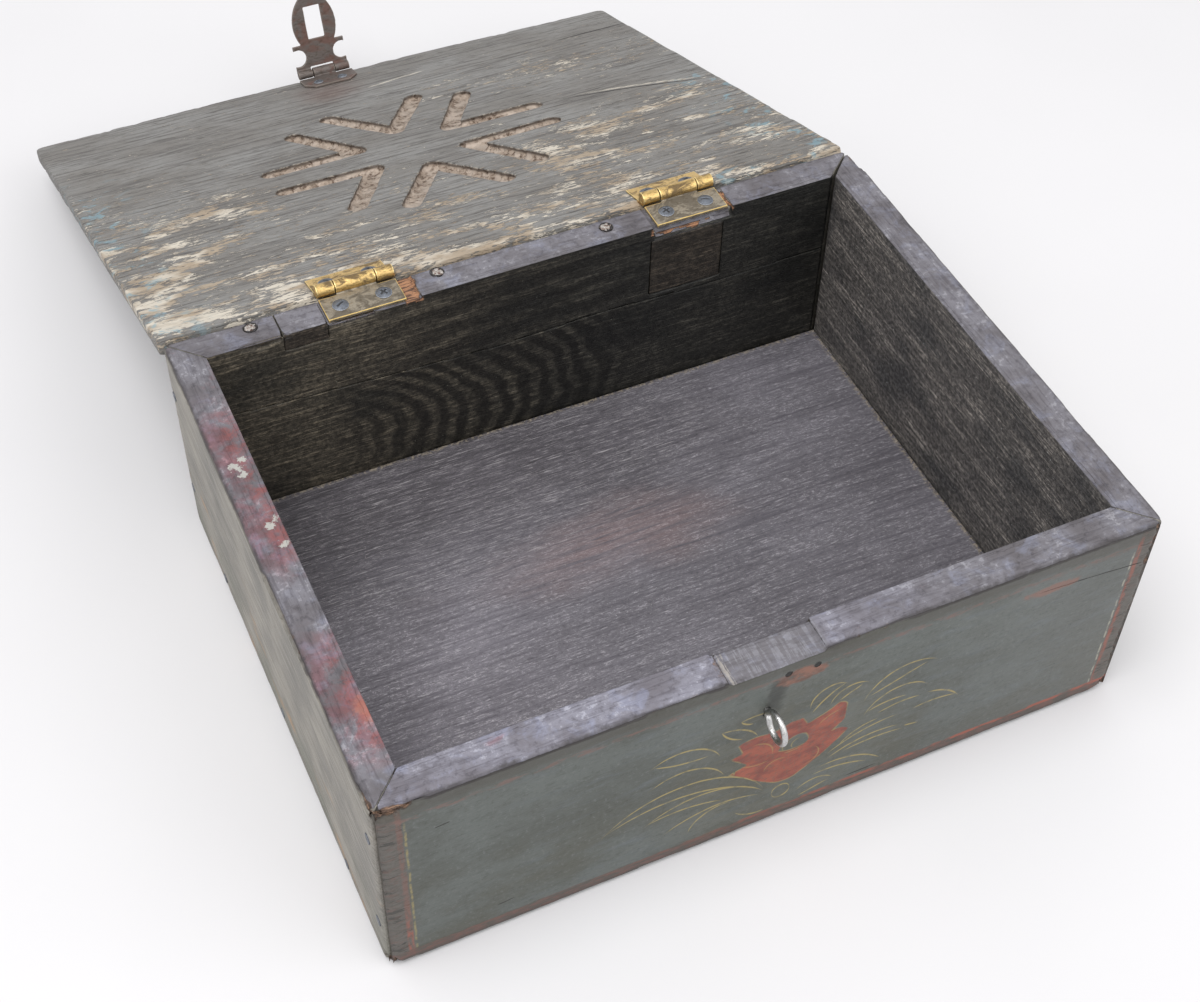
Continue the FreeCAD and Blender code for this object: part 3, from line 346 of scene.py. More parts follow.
class Finish:
    """Builds one material, node by node. Values are sockets, numbers or colours."""

    def __init__(self, name, of_lid=False):
        self.material = bpy.data.materials.new(name)
        self.material.use_nodes = True
        self.tree = self.material.node_tree
        self.tree.nodes.clear()
        place = self.add("ShaderNodeTexCoord").outputs["Object"]
        if of_lid:
            lift = LID_TO_FLAT.to_translation()
            place = self.add("ShaderNodeMapping", {
                "Vector": place, "Location": lift, "Rotation": (OPEN_TURN, 0, 0)
            }).outputs[0]
            corner = (-LEFT, 0, 0)
        else:
            corner = -CORNER
        self.place = self.add("ShaderNodeMapping", {
            "Vector": place, "Location": corner, "Scale": (1000, 1000, 1000)
        }).outputs[0]
        apart = self.add("ShaderNodeSeparateXYZ", {"Vector": self.place})
        self.x, self.y, self.z = apart.outputs

    def add(self, kind, inputs=None, **settings):
        """Adds a node with its settings and inputs."""
        node = self.tree.nodes.new(kind)
        for key, value in settings.items():
            setattr(node, key, value)
        for key, value in (inputs or {}).items():
            self.feed(node.inputs[key], value)
        return node

    def feed(self, socket, value):
        """Links or sets one input."""
        if isinstance(value, bpy.types.NodeSocket):
            self.tree.links.new(value, socket)
        elif socket.type == "RGBA":
            socket.default_value = (*value[:3], 1)
        else:
            socket.default_value = value

    def math(self, operation, first, second=0.0, third=0.0):
        """One sum of up to three values."""
        return self.add("ShaderNodeMath", {0: first, 1: second, 2: third}, operation=operation).outputs[0]

    def scaled(self, value, factor, base):
        """The value times the factor, on top of a base."""
        return self.math("MULTIPLY_ADD", value, factor, base)

    def plus(self, first, second):
        """The sum of two values."""
        return self.math("ADD", first, second)

    def less(self, first, second):
        """The first value less the second."""
        return self.math("SUBTRACT", first, second)

    def chain(self, operation, values):
        """One operation over any number of values."""
        total, *rest = values
        for value in rest:
            total = self.math(operation, total, value)
        return total

    def either(self, *values):
        """The largest of some values."""
        return self.chain("MAXIMUM", values)

    def least(self, *values):
        """The smallest of some values."""
        return self.chain("MINIMUM", values)

    def both(self, *shares):
        """The product of shares."""
        return self.chain("MULTIPLY", shares)

    def off(self, value, level):
        """How far a value is from a level, either way."""
        return self.math("ABSOLUTE", self.less(value, level))

    def vector(self, operation, first, second=(0, 0, 0)):
        """One sum with directions or places: the node's outputs."""
        return self.add("ShaderNodeVectorMath", {0: first, 1: second}, operation=operation).outputs

    def flat(self, across, along):
        """A flat place made of two values."""
        return self.add("ShaderNodeCombineXYZ", {"X": across, "Y": along}).outputs[0]

    def away(self, place, spot):
        """Distance from a spot."""
        return self.vector("DISTANCE", place, spot)[1]

    def dot(self, place, way):
        """How far along a way a place is."""
        return self.vector("DOT_PRODUCT", place, way)[1]

    def oval(self, place, middle, closeness):
        """Distance from a middle, each direction by its own closeness."""
        place = self.vector("MULTIPLY", self.vector("SUBTRACT", place, middle)[0], closeness)[0]
        return self.vector("LENGTH", place)[1]

    def attribute(self, name):
        """A value kept on the points of the mesh."""
        return self.add("ShaderNodeAttribute", attribute_name=name).outputs["Fac"]

    def noise(self, lengths, detail=3.0, rough=0.55, twist=0.0):
        """Clouds of the given length in mm, or lengths along x, y and z."""
        lengths = lengths if isinstance(lengths, tuple) else (lengths, lengths, lengths)
        scaled = self.add("ShaderNodeMapping", {
            "Vector": self.place, "Scale": tuple(1 / size for size in lengths)
        }).outputs[0]
        return self.add("ShaderNodeTexNoise", {
            "Vector": scaled, "Scale": 1.0, "Detail": detail, "Roughness": rough, "Distortion": twist
        }).outputs["Fac"]

    def scatter(self, size, amount=0.7):
        """Irregular small specks of about the given size in mm."""
        return self.step(self.noise(size, 3, 0.7), amount, amount + 0.04)

    def step(self, value, low, high):
        """0 at low, 1 at high."""
        return self.add("ShaderNodeMapRange", {
            "Value": value, "From Min": low, "From Max": high
        }, interpolation_type="SMOOTHSTEP").outputs[0]

    def tint(self, share, colour, by):
        """The colour, multiplied by another by the share."""
        return self.blend(share, colour, by, "MULTIPLY")

    def blend(self, share, first, second, way="MIX"):
        """The first colour, turned into the second by the share."""
        return self.add("ShaderNodeMix", {0: share, 6: first, 7: second},
                        data_type="RGBA", blend_type=way).outputs[2]

    def strokes(self, flat, lines, width):
        """How far a flat place is inside the nearest of some tapering arcs, in mm.
        An arc is x and y of its two ends and its rise to the left of the way along it."""
        best = None
        for x0, y0, x1, y1, bulge in lines:
            start, end = Vector((x0, y0, 0)), Vector((x1, y1, 0))
            run = end - start
            side = Vector((-run.y, run.x, 0)).normalized() * (1 if bulge > 0 else -1)
            aside = self.less(self.dot(flat, side), start.dot(side))
            if abs(bulge) < 0.3:
                away = aside
            else:
                radius = (run.length_squared / 4 + bulge * bulge) / abs(2 * bulge)
                middle = (start + end) / 2 + side * (abs(bulge) - radius)
                away = self.less(self.away(flat, middle), radius)
            away = self.math("ABSOLUTE", away)
            ahead = run * (2 / run.length_squared)
            along = self.less(self.dot(flat, ahead), start.dot(ahead) + 1)
            along = self.both(along, along)
            along = self.both(along, along)
            half = self.scaled(along, -width / 2, width / 2 - 1)
            half = self.plus(half, self.math("GREATER_THAN", aside, -1.0))
            depth = self.less(half, away)
            best = depth if best is None else self.either(best, depth)
        return best

    def done(self, colour, roughness, height=None, metal=0.0, gloss=0.4, relief=0.001):
        """Puts the colour, roughness and relief in mm on the surface."""
        inputs = {
            "Base Color": colour, "Roughness": roughness, "Metallic": metal, "Specular IOR Level": gloss
        }
        if height is not None:
            inputs["Normal"] = self.add("ShaderNodeBump", {
                "Height": height, "Strength": 1.0, "Distance": relief
            }).outputs[0]
        surface = self.add("ShaderNodeBsdfPrincipled", inputs)
        self.add("ShaderNodeOutputMaterial", {"Surface": surface.outputs[0]})
        return self.material


def drawn(along, reach, fine, high=None):
    """Lengths of a cloud in mm that is fine, and drawn out along x (0) or y (1)."""
    lengths = [fine, fine, high or fine]
    lengths[along] = reach
    return tuple(lengths)


def inner_wood(finish, colours, along, figure, tone):
    """Dark stained wood with fine lighter grain and arched figure along one axis: colour and height."""
    grain = finish.noise(drawn(along, 22, 1.0), 4, 0.62, 0.6)
    fine = finish.noise(drawn(along, 5, 0.34), 2, 0.6)
    drift = finish.noise((30, 30, 14), 3, 0.5)
    arch = finish.oval(finish.place, figure[0], figure[1])
    arch = finish.scaled(drift, 11.0, arch)
    arch = finish.math("SINE", finish.scaled(grain, 1.4, arch))
    arch = finish.step(arch, -0.6, 0.9)
    within = finish.away(finish.place, figure[2])
    within = finish.both(finish.step(within, figure[3], figure[3] * 0.5), figure[4])
    arch = finish.less(1.0, finish.both(within, finish.less(1.0, arch)))
    streak = finish.both(finish.step(grain, 0.44, 0.66), finish.step(fine, 0.38, 0.62))
    streak = finish.both(streak, finish.scaled(arch, 0.75, 0.25))
    colour = finish.blend(streak, colours.inside, colours.inside_light)
    colour = finish.blend(arch, finish.tint(1.0, colour, (0.42, 0.42, 0.43)), colour)
    soot = finish.step(finish.noise((34, 34, 20), 4), 0.46, 0.66)
    colour = finish.blend(finish.both(soot, 0.7), colour, seen(33, 31, 29))
    mottle = finish.step(finish.noise(1.5, 4, 0.75), 0.4, 0.62)
    mottle = finish.blend(mottle, (0.6, 0.59, 0.58), (1.45, 1.42, 1.38))
    colour = finish.tint(1.0, colour, mottle)
    colour = finish.blend(finish.both(finish.scatter(0.8, 0.68), 0.6), colour, seen(150, 144, 132))
    tone = tone(finish) if callable(tone) else tone
    colour = finish.tint(1.0, colour, tone)
    height = finish.scaled(fine, 0.22, finish.both(grain, 0.35))
    height = finish.scaled(arch, 0.08, height)
    return colour, height


def rim_wood(finish, colours, along, pink):
    """Worn grey upper edge with violet and pink mottling and pale scuffs: colour and height."""
    grain = finish.noise(drawn(along, 13, 1.1, 1.6), 4, 0.65, 0.5)
    cloud = finish.noise(17, 5, 0.62)
    colour = finish.blend(finish.step(cloud, 0.34, 0.66), colours.rim_dark, colours.rim)
    cool = finish.step(finish.noise(8, 4, 0.65, 0.6), 0.5, 0.72)
    colour = finish.blend(finish.both(cool, 0.42), colour, seen(142, 146, 166))
    rust = finish.step(finish.noise(13, 5, 0.65, 0.8), pink, pink + 0.14)
    colour = finish.blend(finish.both(rust, 0.55), colour, colours.rim_pink)
    colour = finish.tint(finish.step(grain, 0.54, 0.34), colour, (0.7, 0.69, 0.7))
    mottle = finish.noise(2.4, 4, 0.7)
    colour = finish.tint(finish.step(mottle, 0.48, 0.32), colour, (0.66, 0.65, 0.66))
    scuff = finish.both(finish.step(mottle, 0.54, 0.66), finish.step(cloud, 0.44, 0.58), 0.42)
    colour = finish.blend(scuff, colour, seen(180, 179, 186))
    return colour, finish.scaled(mottle, 0.6, grain)


def side_wood(finish, colours, along):
    """Weathered outer face in tan and grey, with dark specks and worn streaks: colour and height."""
    grain = finish.noise(drawn(along, 30, 0.9), 5, 0.66, 0.4)
    cloud = finish.noise((26, 26, 20), 5, 0.62)
    colour = finish.blend(finish.step(cloud, 0.32, 0.68), colours.side_dark, colours.side)
    green = finish.both(finish.step(finish.z, 40, 4), finish.step(cloud, 0.62, 0.4), 0.6)
    colour = finish.blend(green, colour, seen(116, 118, 104))
    colour = finish.tint(finish.step(grain, 0.56, 0.34), colour, (0.66, 0.65, 0.63))
    colour = finish.blend(finish.both(finish.step(grain, 0.56, 0.7), 0.4), colour, seen(196, 190, 178))
    warm = finish.step(finish.noise((15, 26, 10), 4, 0.6), 0.58, 0.72)
    warm = finish.both(warm, finish.step(finish.z, 46, 22), 0.6)
    colour = finish.blend(warm, colour, seen(186, 140, 92))
    pores = finish.step(finish.noise(drawn(along, 4.5, 0.8), 3, 0.6), 0.66, 0.72)
    colour = finish.blend(finish.both(pores, 0.7), colour, seen(64, 58, 52))
    for level in (3.0, 6.2):
        line = finish.off(finish.z, level)
        line = finish.both(finish.step(finish.plus(line, grain), 1.4, 0.9), 0.5)
        colour = finish.blend(line, colour, seen(70, 58, 50))
    return colour, grain


# A figure is the middle of its rings, how closely they follow each other along x, y and z, the middle and
# reach of the part that shows them, and how strong they are there.
PLAIN_FIGURE = ((120, 100, -160), (0.03, 0.03, 0.35), (120, 100, 40), 400, 0.3)


def board_finish(name, colours, along, outer, pink=0.62, extra=None, figure=PLAIN_FIGURE, tone=(1, 1, 1)):
    """The finish of one board of the box: outer face, rim, inner face and broken wood."""
    finish = Finish(name)
    outer_colour, outer_height = outer(finish, colours)
    inner_colour, inner_height = inner_wood(finish, colours, along, figure, tone)
    rim_colour, rim_height = rim_wood(finish, colours, along, pink)
    ragged = finish.scaled(finish.noise(2.4, 4, 0.65), 1.2, -0.6)
    inner = finish.step(finish.plus(finish.attribute("inner"), ragged), 0.4, 0.6)
    rim = finish.step(finish.scaled(ragged, 0.5, finish.attribute("rim")), 0.4, 0.6)
    colour = finish.blend(inner, outer_colour, inner_colour)
    if extra is not None:
        rim_colour = extra(finish, colours, rim_colour)
    colour = finish.blend(rim, colour, rim_colour)
    worn = finish.scaled(ragged, 1.3, finish.attribute("edge"))
    share = finish.scaled(finish.step(finish.noise(14), 0.4, 0.55), 0.4, 0.4)
    colour = finish.blend(finish.both(finish.step(worn, 2.0, 0.5), share), colour, seen(60, 56, 57))
    across = [finish.least(way, finish.less(size, way))
              for way, size in ((finish.x, WIDTH), (finish.y, DEPTH))]
    joint = finish.off(*across)
    joint = finish.step(finish.scaled(ragged, 0.5, joint), 0.5, 0.12)
    colour = finish.blend(finish.both(joint, rim, 0.8), colour, seen(44, 40, 40))
    broken = finish.attribute("broken")
    fresh = finish.step(broken, 0.8, 0.98)
    broken = finish.step(finish.scaled(ragged, 0.6, broken), 0.35, 0.6)
    fibre = finish.noise(drawn(along, 5, 0.8), 4, 0.7)
    old = finish.blend(finish.step(fibre, 0.44, 0.66), seen(84, 66, 56), seen(164, 130, 106))
    new = finish.blend(finish.step(fibre, 0.4, 0.6), seen(92, 68, 56), colours.raw)
    colour = finish.blend(broken, colour, finish.blend(fresh, old, new))
    height = finish.both(outer_height, 0.25)
    height = finish.scaled(inner, finish.both(inner_height, 0.8), height)
    height = finish.scaled(rim, finish.both(rim_height, 0.35), height)
    height = finish.scaled(broken, fibre, height)
    roughness = finish.scaled(inner_height, 0.35, 0.4)
    return finish.done(colour, roughness, height)


# The front's painting, in mm along the front and up it. A brush line is its two ends and its rise.
LEAF_LINES = (
    # the large leaf on the left, and the small ones under it
    (68, 28, 120, 22, 13.5), (68, 28, 119, 21, 8.5), (82, 25, 120, 20, 7.5), (82, 25, 106, 23, 2),
    (88, 16, 119, 18, 4), (96, 12, 109, 20, 3),
    # up on the left
    (82, 54, 104, 48, 5.5), (83, 54, 100, 50, -1), (82, 43, 106, 37, 6), (110, 61, 118, 61, 0.5),
    (110, 61, 114, 58, -0.5), (104, 59, 116, 51, 2), (104, 59, 111, 52, -1),
    # the bud below
    (112, 12, 122, 8, -1.5), (124, 15, 130, 16, 3), (124, 15, 130, 16, -3.5),
    # up on the right
    (152, 48, 175, 56, 6), (154, 49, 172, 56, 0), (153, 40, 174, 44, 6), (154, 41, 167, 42, 1),
    (158, 38, 172, 39, 1), (133, 55, 144, 61, 4), (134, 52, 144, 61, 1), (140, 53, 152, 57, 3.5),
    (143, 53, 150, 57, 0),
    # down on the right
    (175, 39, 187, 31, 1.5), (171, 33, 186, 32, 1), (142, 26, 165, 33, 2), (146, 29, 158, 35, 1.5),
    (142, 23, 166, 27, 2.5), (148, 24, 168, 24, 1), (169, 25, 174, 24, 0), (138, 17, 157, 13, 1.5),
    (140, 20, 162, 12, 3), (133, 12, 145, 12, 2.5), (134, 8, 144, 11, 0),
)
PETAL_LINES = (
    (115, 46, 122, 38, 2.5), (120, 30, 127, 33, 2), (137, 33, 134, 25, 3), (126, 37, 128, 41, 1.5),
    (129, 37, 131, 41, 1.5), (126, 36, 132, 36, -0.5), (112, 37, 121, 35, -1), (137, 44, 144, 48, 1),
)
# A closed shape is its corners, each with the rise of the side after it.
FLOWER_SHAPE = (
    (108, 35, 0), (114, 37, 0), (108, 43, 0), (112, 44, 0), (110, 49, 0.5), (117, 50, -1), (127, 51, 0),
    (131, 51, 0), (133, 47, -0.5), (143, 52, 0.5), (146, 50, 0), (146, 42, 0), (142, 38, 1),
    (148, 36, 1), (131, 21, 1), (123, 22, 0.5), (113, 31, 0),
)
HEART_SHAPE = ((124, 38, 1), (129, 43, 1.5), (134, 40, 0.5), (133, 37, 1))
# Old nail holes under the notch.
NAIL_HOLES = ((123.6, 76.5), (132.9, 75.9))


def rounded(corners, parts=5):
    """Points of a closed shape, with its sides bent by their rises."""
    points = []
    for (x0, y0, bulge), (x1, y1, _) in zip(corners, corners[1:] + corners[:1]):
        start, run = Vector((x0, y0)), Vector((x1 - x0, y1 - y0))
        side = Vector((-run.y, run.x)).normalized()
        for share in (part / parts for part in range(parts if bulge else 1)):
            points.append(tuple(start + run * share + side * (4 * bulge * share * (1 - share))))
    return points


def painted_front(finish, colours):
    """Grey-green panel in a brown-red border, with the red flower and its ochre leaves."""
    brush = finish.noise((18, 18, 3.4), 5, 0.6, 0.5)
    cloud = finish.noise((44, 44, 26), 4, 0.6)
    fine = finish.noise((4, 4, 0.6), 3, 0.6)
    scrub = finish.noise(1.6, 4, 0.7)
    patchy = finish.noise((7, 7, 4), 5, 0.7)
    colour = finish.blend(finish.step(cloud, 0.34, 0.68), colours.panel_dark, colours.panel)
    colour = finish.tint(finish.step(patchy, 0.48, 0.34), colour, (0.82, 0.82, 0.8))
    cool = finish.both(finish.step(brush, 0.48, 0.74), finish.step(finish.x, 20, 70), 0.45)
    colour = finish.blend(cool, colour, seen(102, 110, 116))
    olive = finish.both(finish.step(cloud, 0.56, 0.4), finish.step(finish.z, 52, 24), 0.5)
    colour = finish.blend(olive, colour, seen(86, 86, 76))
    # Painted light: the panel is made lighter towards its right end, where more light falls on it.
    lighter = finish.both(finish.step(finish.x, 150, 245), 0.3)
    colour = finish.blend(lighter, colour, seen(122, 124, 124))
    colour = finish.tint(finish.step(fine, 0.5, 0.28), colour, (0.84, 0.84, 0.82))
    colour = finish.tint(finish.step(scrub, 0.46, 0.3), colour, (0.76, 0.76, 0.74))
    colour = finish.blend(finish.both(finish.step(scrub, 0.54, 0.7), 0.3), colour, seen(128, 132, 132))
    wobble = finish.scaled(finish.noise(5, 4, 0.65), 3.0, -1.5)
    worn = finish.step(finish.noise((9, 9, 4), 4, 0.65), 0.6, 0.44)

    flat = finish.flat(finish.x, finish.z)
    tilt = finish.away(flat, (128, 30, 0))
    fans = finish.both(finish.step(tilt, 52, 26), finish.step(brush, 0.36, 0.6), 0.3)
    colour = finish.blend(fans, colour, seen(98, 92, 70))
    petal = finish.scaled(wobble, 0.15, finish.attribute("petal"))
    red = finish.both(finish.step(petal, 0.15, -0.25), finish.step(fine, 0.26, 0.38))
    deep = finish.step(finish.noise((9, 9, 5), 4, 0.6), 0.36, 0.66)
    paint = finish.blend(deep, colours.red_paint, seen(126, 60, 50))
    paint = finish.tint(finish.step(patchy, 0.5, 0.36), paint, (0.78, 0.8, 0.82))
    thin = finish.scaled(finish.step(scrub, 0.34, 0.52), 0.4, 0.5)
    colour = finish.blend(finish.both(red, thin), colour, paint)
    rim_line = finish.both(finish.step(finish.math("ABSOLUTE", petal), 0.4, 0.1), worn, 0.42)
    width = colours.id_data.box_sizes.line_width * 1000
    ink = finish.step(finish.strokes(flat, LEAF_LINES, width), -0.14, 0.12)
    petal_ink = finish.step(finish.strokes(flat, PETAL_LINES, 0.5), -0.12, 0.12)
    thin = finish.step(finish.noise(4, 3, 0.6), 0.34, 0.56)
    ink = finish.both(ink, finish.scaled(thin, 0.5, 0.26))
    ink = finish.either(ink, finish.both(petal_ink, 0.4), rim_line)
    colour = finish.blend(ink, colour, colours.ochre)

    smear = finish.oval(flat, (120.5, 68, 0), (0.3, 0.13, 0))
    smear = finish.step(finish.scaled(wobble, 0.5, smear), 1.3, 0.5)
    colour = finish.blend(finish.both(smear, 0.75), colour, seen(48, 49, 46))

    right = finish.less(WIDTH, finish.x)
    down = finish.less(HEIGHT, finish.z)
    from_side = finish.scaled(wobble, 0.3, finish.least(finish.x, right))
    at_left = finish.step(finish.x, 130, 120)
    ends = finish.noise((3, 3, 1.1), 4, 0.7)
    streaks = finish.noise((6, 6, 1.6), 4, 0.65)
    upright = finish.step(finish.noise((2.2, 2.2, 7), 4, 0.65), 0.62, 0.42)
    gaps = finish.step(finish.noise((7, 7, 1.9), 3, 0.6, 0.5), 0.44, 0.36)
    border = finish.blend(finish.step(ends, 0.36, 0.6), seen(82, 77, 71), seen(98, 93, 88))
    border = finish.blend(finish.both(gaps, 0.8), border, seen(52, 48, 45))
    border = finish.blend(finish.both(finish.step(streaks, 0.5, 0.66), 0.5), border, colours.border)
    band = finish.step(from_side, 8.8, 8.0)
    colour = finish.blend(finish.both(band, 0.88), colour, border)
    faded = finish.scaled(finish.step(finish.z, 36, 6), 0.72, 0.22)
    faded = finish.either(finish.both(at_left, faded), finish.less(0.62, at_left))
    stripe = finish.step(finish.off(from_side, 7.5), 1.2, 0.5)
    colour = finish.blend(finish.both(stripe, faded, upright, 0.85), colour, colours.border_line)
    thread = finish.step(finish.off(from_side, 9.1), 0.5, 0.15)
    thread = finish.both(thread, worn, finish.step(finish.z, 6, 8), finish.step(finish.z, 76, 70), 0.5)
    colour = finish.blend(thread, colour, finish.blend(at_left, seen(190, 184, 168), colours.ochre))
    low = finish.scaled(wobble, 0.4, finish.z)
    foot = finish.step(low, 7.0, 6.2)
    brown = finish.blend(finish.step(streaks, 0.42, 0.6), seen(82, 74, 68), colours.border)
    colour = finish.blend(finish.both(foot, 0.85), colour, brown)
    colour = finish.blend(finish.both(finish.step(low, 4.0, 1.2), 0.85), colour, seen(58, 57, 53))
    line = finish.step(finish.off(low, 6.3), 1.0, 0.4)
    line = finish.both(line, worn, finish.step(finish.x, 60, 190))
    colour = finish.blend(finish.both(line, 0.75), colour, colours.border_line)

    under = finish.scaled(wobble, 0.7, down)
    shelf = finish.step(under, 7.8, 3.6)
    colour = finish.blend(finish.both(shelf, 0.62), colour, seen(76, 72, 66))
    line = finish.step(finish.off(under, 7.2), 1.4, 0.5)
    line = finish.both(line, finish.step(streaks, 0.44, 0.6), 0.6)
    colour = finish.blend(line, colour, seen(124, 92, 84))
    line = finish.step(finish.scaled(ends, 1.6, down), 2.6, 1.6)
    colour = finish.blend(finish.both(line, 0.85), colour, seen(38, 35, 32))

    bare = finish.oval(flat, (128.5, 73.8, 0), (0.13, 0.3, 0))
    bare = finish.step(finish.scaled(wobble, 0.4, bare), 1.15, 0.8)
    bare = finish.both(bare, finish.step(streaks, 0.32, 0.48), finish.step(scrub, 0.26, 0.44), 0.9)
    wood = finish.blend(finish.step(patchy, 0.38, 0.62), seen(96, 68, 58), seen(138, 96, 80))
    colour = finish.blend(bare, colour, wood)
    # Painted shade: the old nail holes are coloured near black, as the shade inside them.
    shaded_hole = finish.least(*(finish.away(flat, (x, z, 0)) for x, z in NAIL_HOLES))
    shaded_hole = finish.step(finish.scaled(wobble, 0.15, shaded_hole), 1.3, 0.9)
    colour = finish.blend(shaded_hole, colour, (0.006, 0.005, 0.004))
    crack = finish.strokes(flat, ((206, 69.8, 252, 65.2, 0.4), (17, 66, 22, 66.6, 0.2)), 0.6)
    crack = finish.step(finish.scaled(wobble, 0.12, crack), 0.0, 0.2)
    colour = finish.blend(finish.both(crack, 0.85), colour, seen(40, 36, 34))
    patch = finish.oval(flat, (213, 69.6, 0), (0.1, 0.45, 0))
    patch = finish.both(finish.step(finish.scaled(wobble, 0.5, patch), 1.1, 0.7), 0.6)
    colour = finish.blend(patch, colour, seen(140, 96, 82))
    scratch = finish.strokes(flat, ((34, 13, 40, 13.6, 0.2), (150, 8.5, 162, 8.8, 0.2)), 0.7)
    colour = finish.blend(finish.step(scratch, 0, 0.2), colour, seen(36, 32, 30))

    height = finish.both(fine, 0.3)
    height = finish.scaled(scrub, 0.2, height)
    height = finish.scaled(ink, 0.05, height)
    height = finish.scaled(crack, -1.6, height)
    height = finish.scaled(shaded_hole, -4.0, height)
    height = finish.scaled(finish.either(band, foot), finish.both(ends, 0.3), height)
    height = finish.scaled(finish.both(band, gaps), -0.7, height)
    return colour, height


# Cream flecks on the left rim: x and y in mm, and how much smaller than the largest.
CREAM_FLECKS = ((6, 131, 0), (8.4, 133, 0.6), (7, 127, 1), (8, 105, 0.5), (10, 107, 0.9), (9.6, 97, 0.5))


def red_rim(finish, colours, rim_colour):
    """Red paint and cream flecks left on the left side's rim."""
    wobble = finish.noise(7, 5, 0.68, 0.5)
    small = finish.noise(2.2, 4, 0.7)
    far = finish.both(finish.step(finish.y, 78, 100), finish.step(finish.y, 168, 142))
    near = finish.both(finish.step(finish.y, 10, 26), finish.step(finish.y, 70, 46))
    red = finish.both(finish.either(far, near), finish.step(wobble, 0.36, 0.62))
    rim_colour = finish.tint(red, rim_colour, (1.12, 0.66, 0.68))
    strong = finish.both(red, finish.step(finish.x, 3, 9), finish.step(small, 0.4, 0.58), 0.42)
    rim_colour = finish.blend(strong, rim_colour, seen(158, 82, 74))
    flat = finish.flat(finish.x, finish.y)
    bright = finish.oval(flat, (10.5, 33, 0), (1, 0.5, 0))
    bright = finish.step(finish.scaled(small, 7.0, bright), 6.6, 4.2)
    rim_colour = finish.blend(finish.both(bright, 0.55), rim_colour, seen(182, 110, 88))
    fleck = finish.least(*(finish.plus(finish.away(flat, (x, y, 0)), less) for x, y, less in CREAM_FLECKS))
    fleck = finish.step(finish.scaled(small, 7.0, fleck), 5.6, 5.1)
    return finish.blend(finish.both(fleck, 0.85), rim_colour, seen(184, 184, 178))


def notch_rim(finish, colours, rim_colour):
    """The lighter front rim, with the scratched floor of the hasp's notch and a pale worn step."""
    bluer = finish.step(finish.x, 190, 130)
    rim_colour = finish.tint(bluer, rim_colour, (1.3, 1.32, 1.4))
    across = finish.both(finish.step(finish.x, 103.5, 105.4), finish.step(finish.x, 137, 135))
    scratch = finish.step(finish.noise((1.1, 12, 12), 4, 0.7), 0.46, 0.6)
    dark = finish.step(finish.noise((7, 2.2, 2.2), 4, 0.72), 0.46, 0.62)
    pale = finish.blend(finish.both(scratch, 0.7), seen(112, 110, 112), seen(168, 169, 176))
    pale = finish.blend(finish.both(dark, 0.6), pale, seen(84, 80, 80))
    rim_colour = finish.blend(finish.both(across, 0.45), rim_colour, pale)
    wobble = finish.scaled(finish.noise(4, 3, 0.6), 4.0, -2.0)
    step = finish.plus(finish.less(finish.x, 106.4), wobble)
    step = finish.step(finish.math("ABSOLUTE", step), 1.3, 0.3)
    step = finish.both(step, finish.step(scratch, 0.0, 0.5), 0.55)
    return finish.blend(step, rim_colour, seen(180, 172, 160))


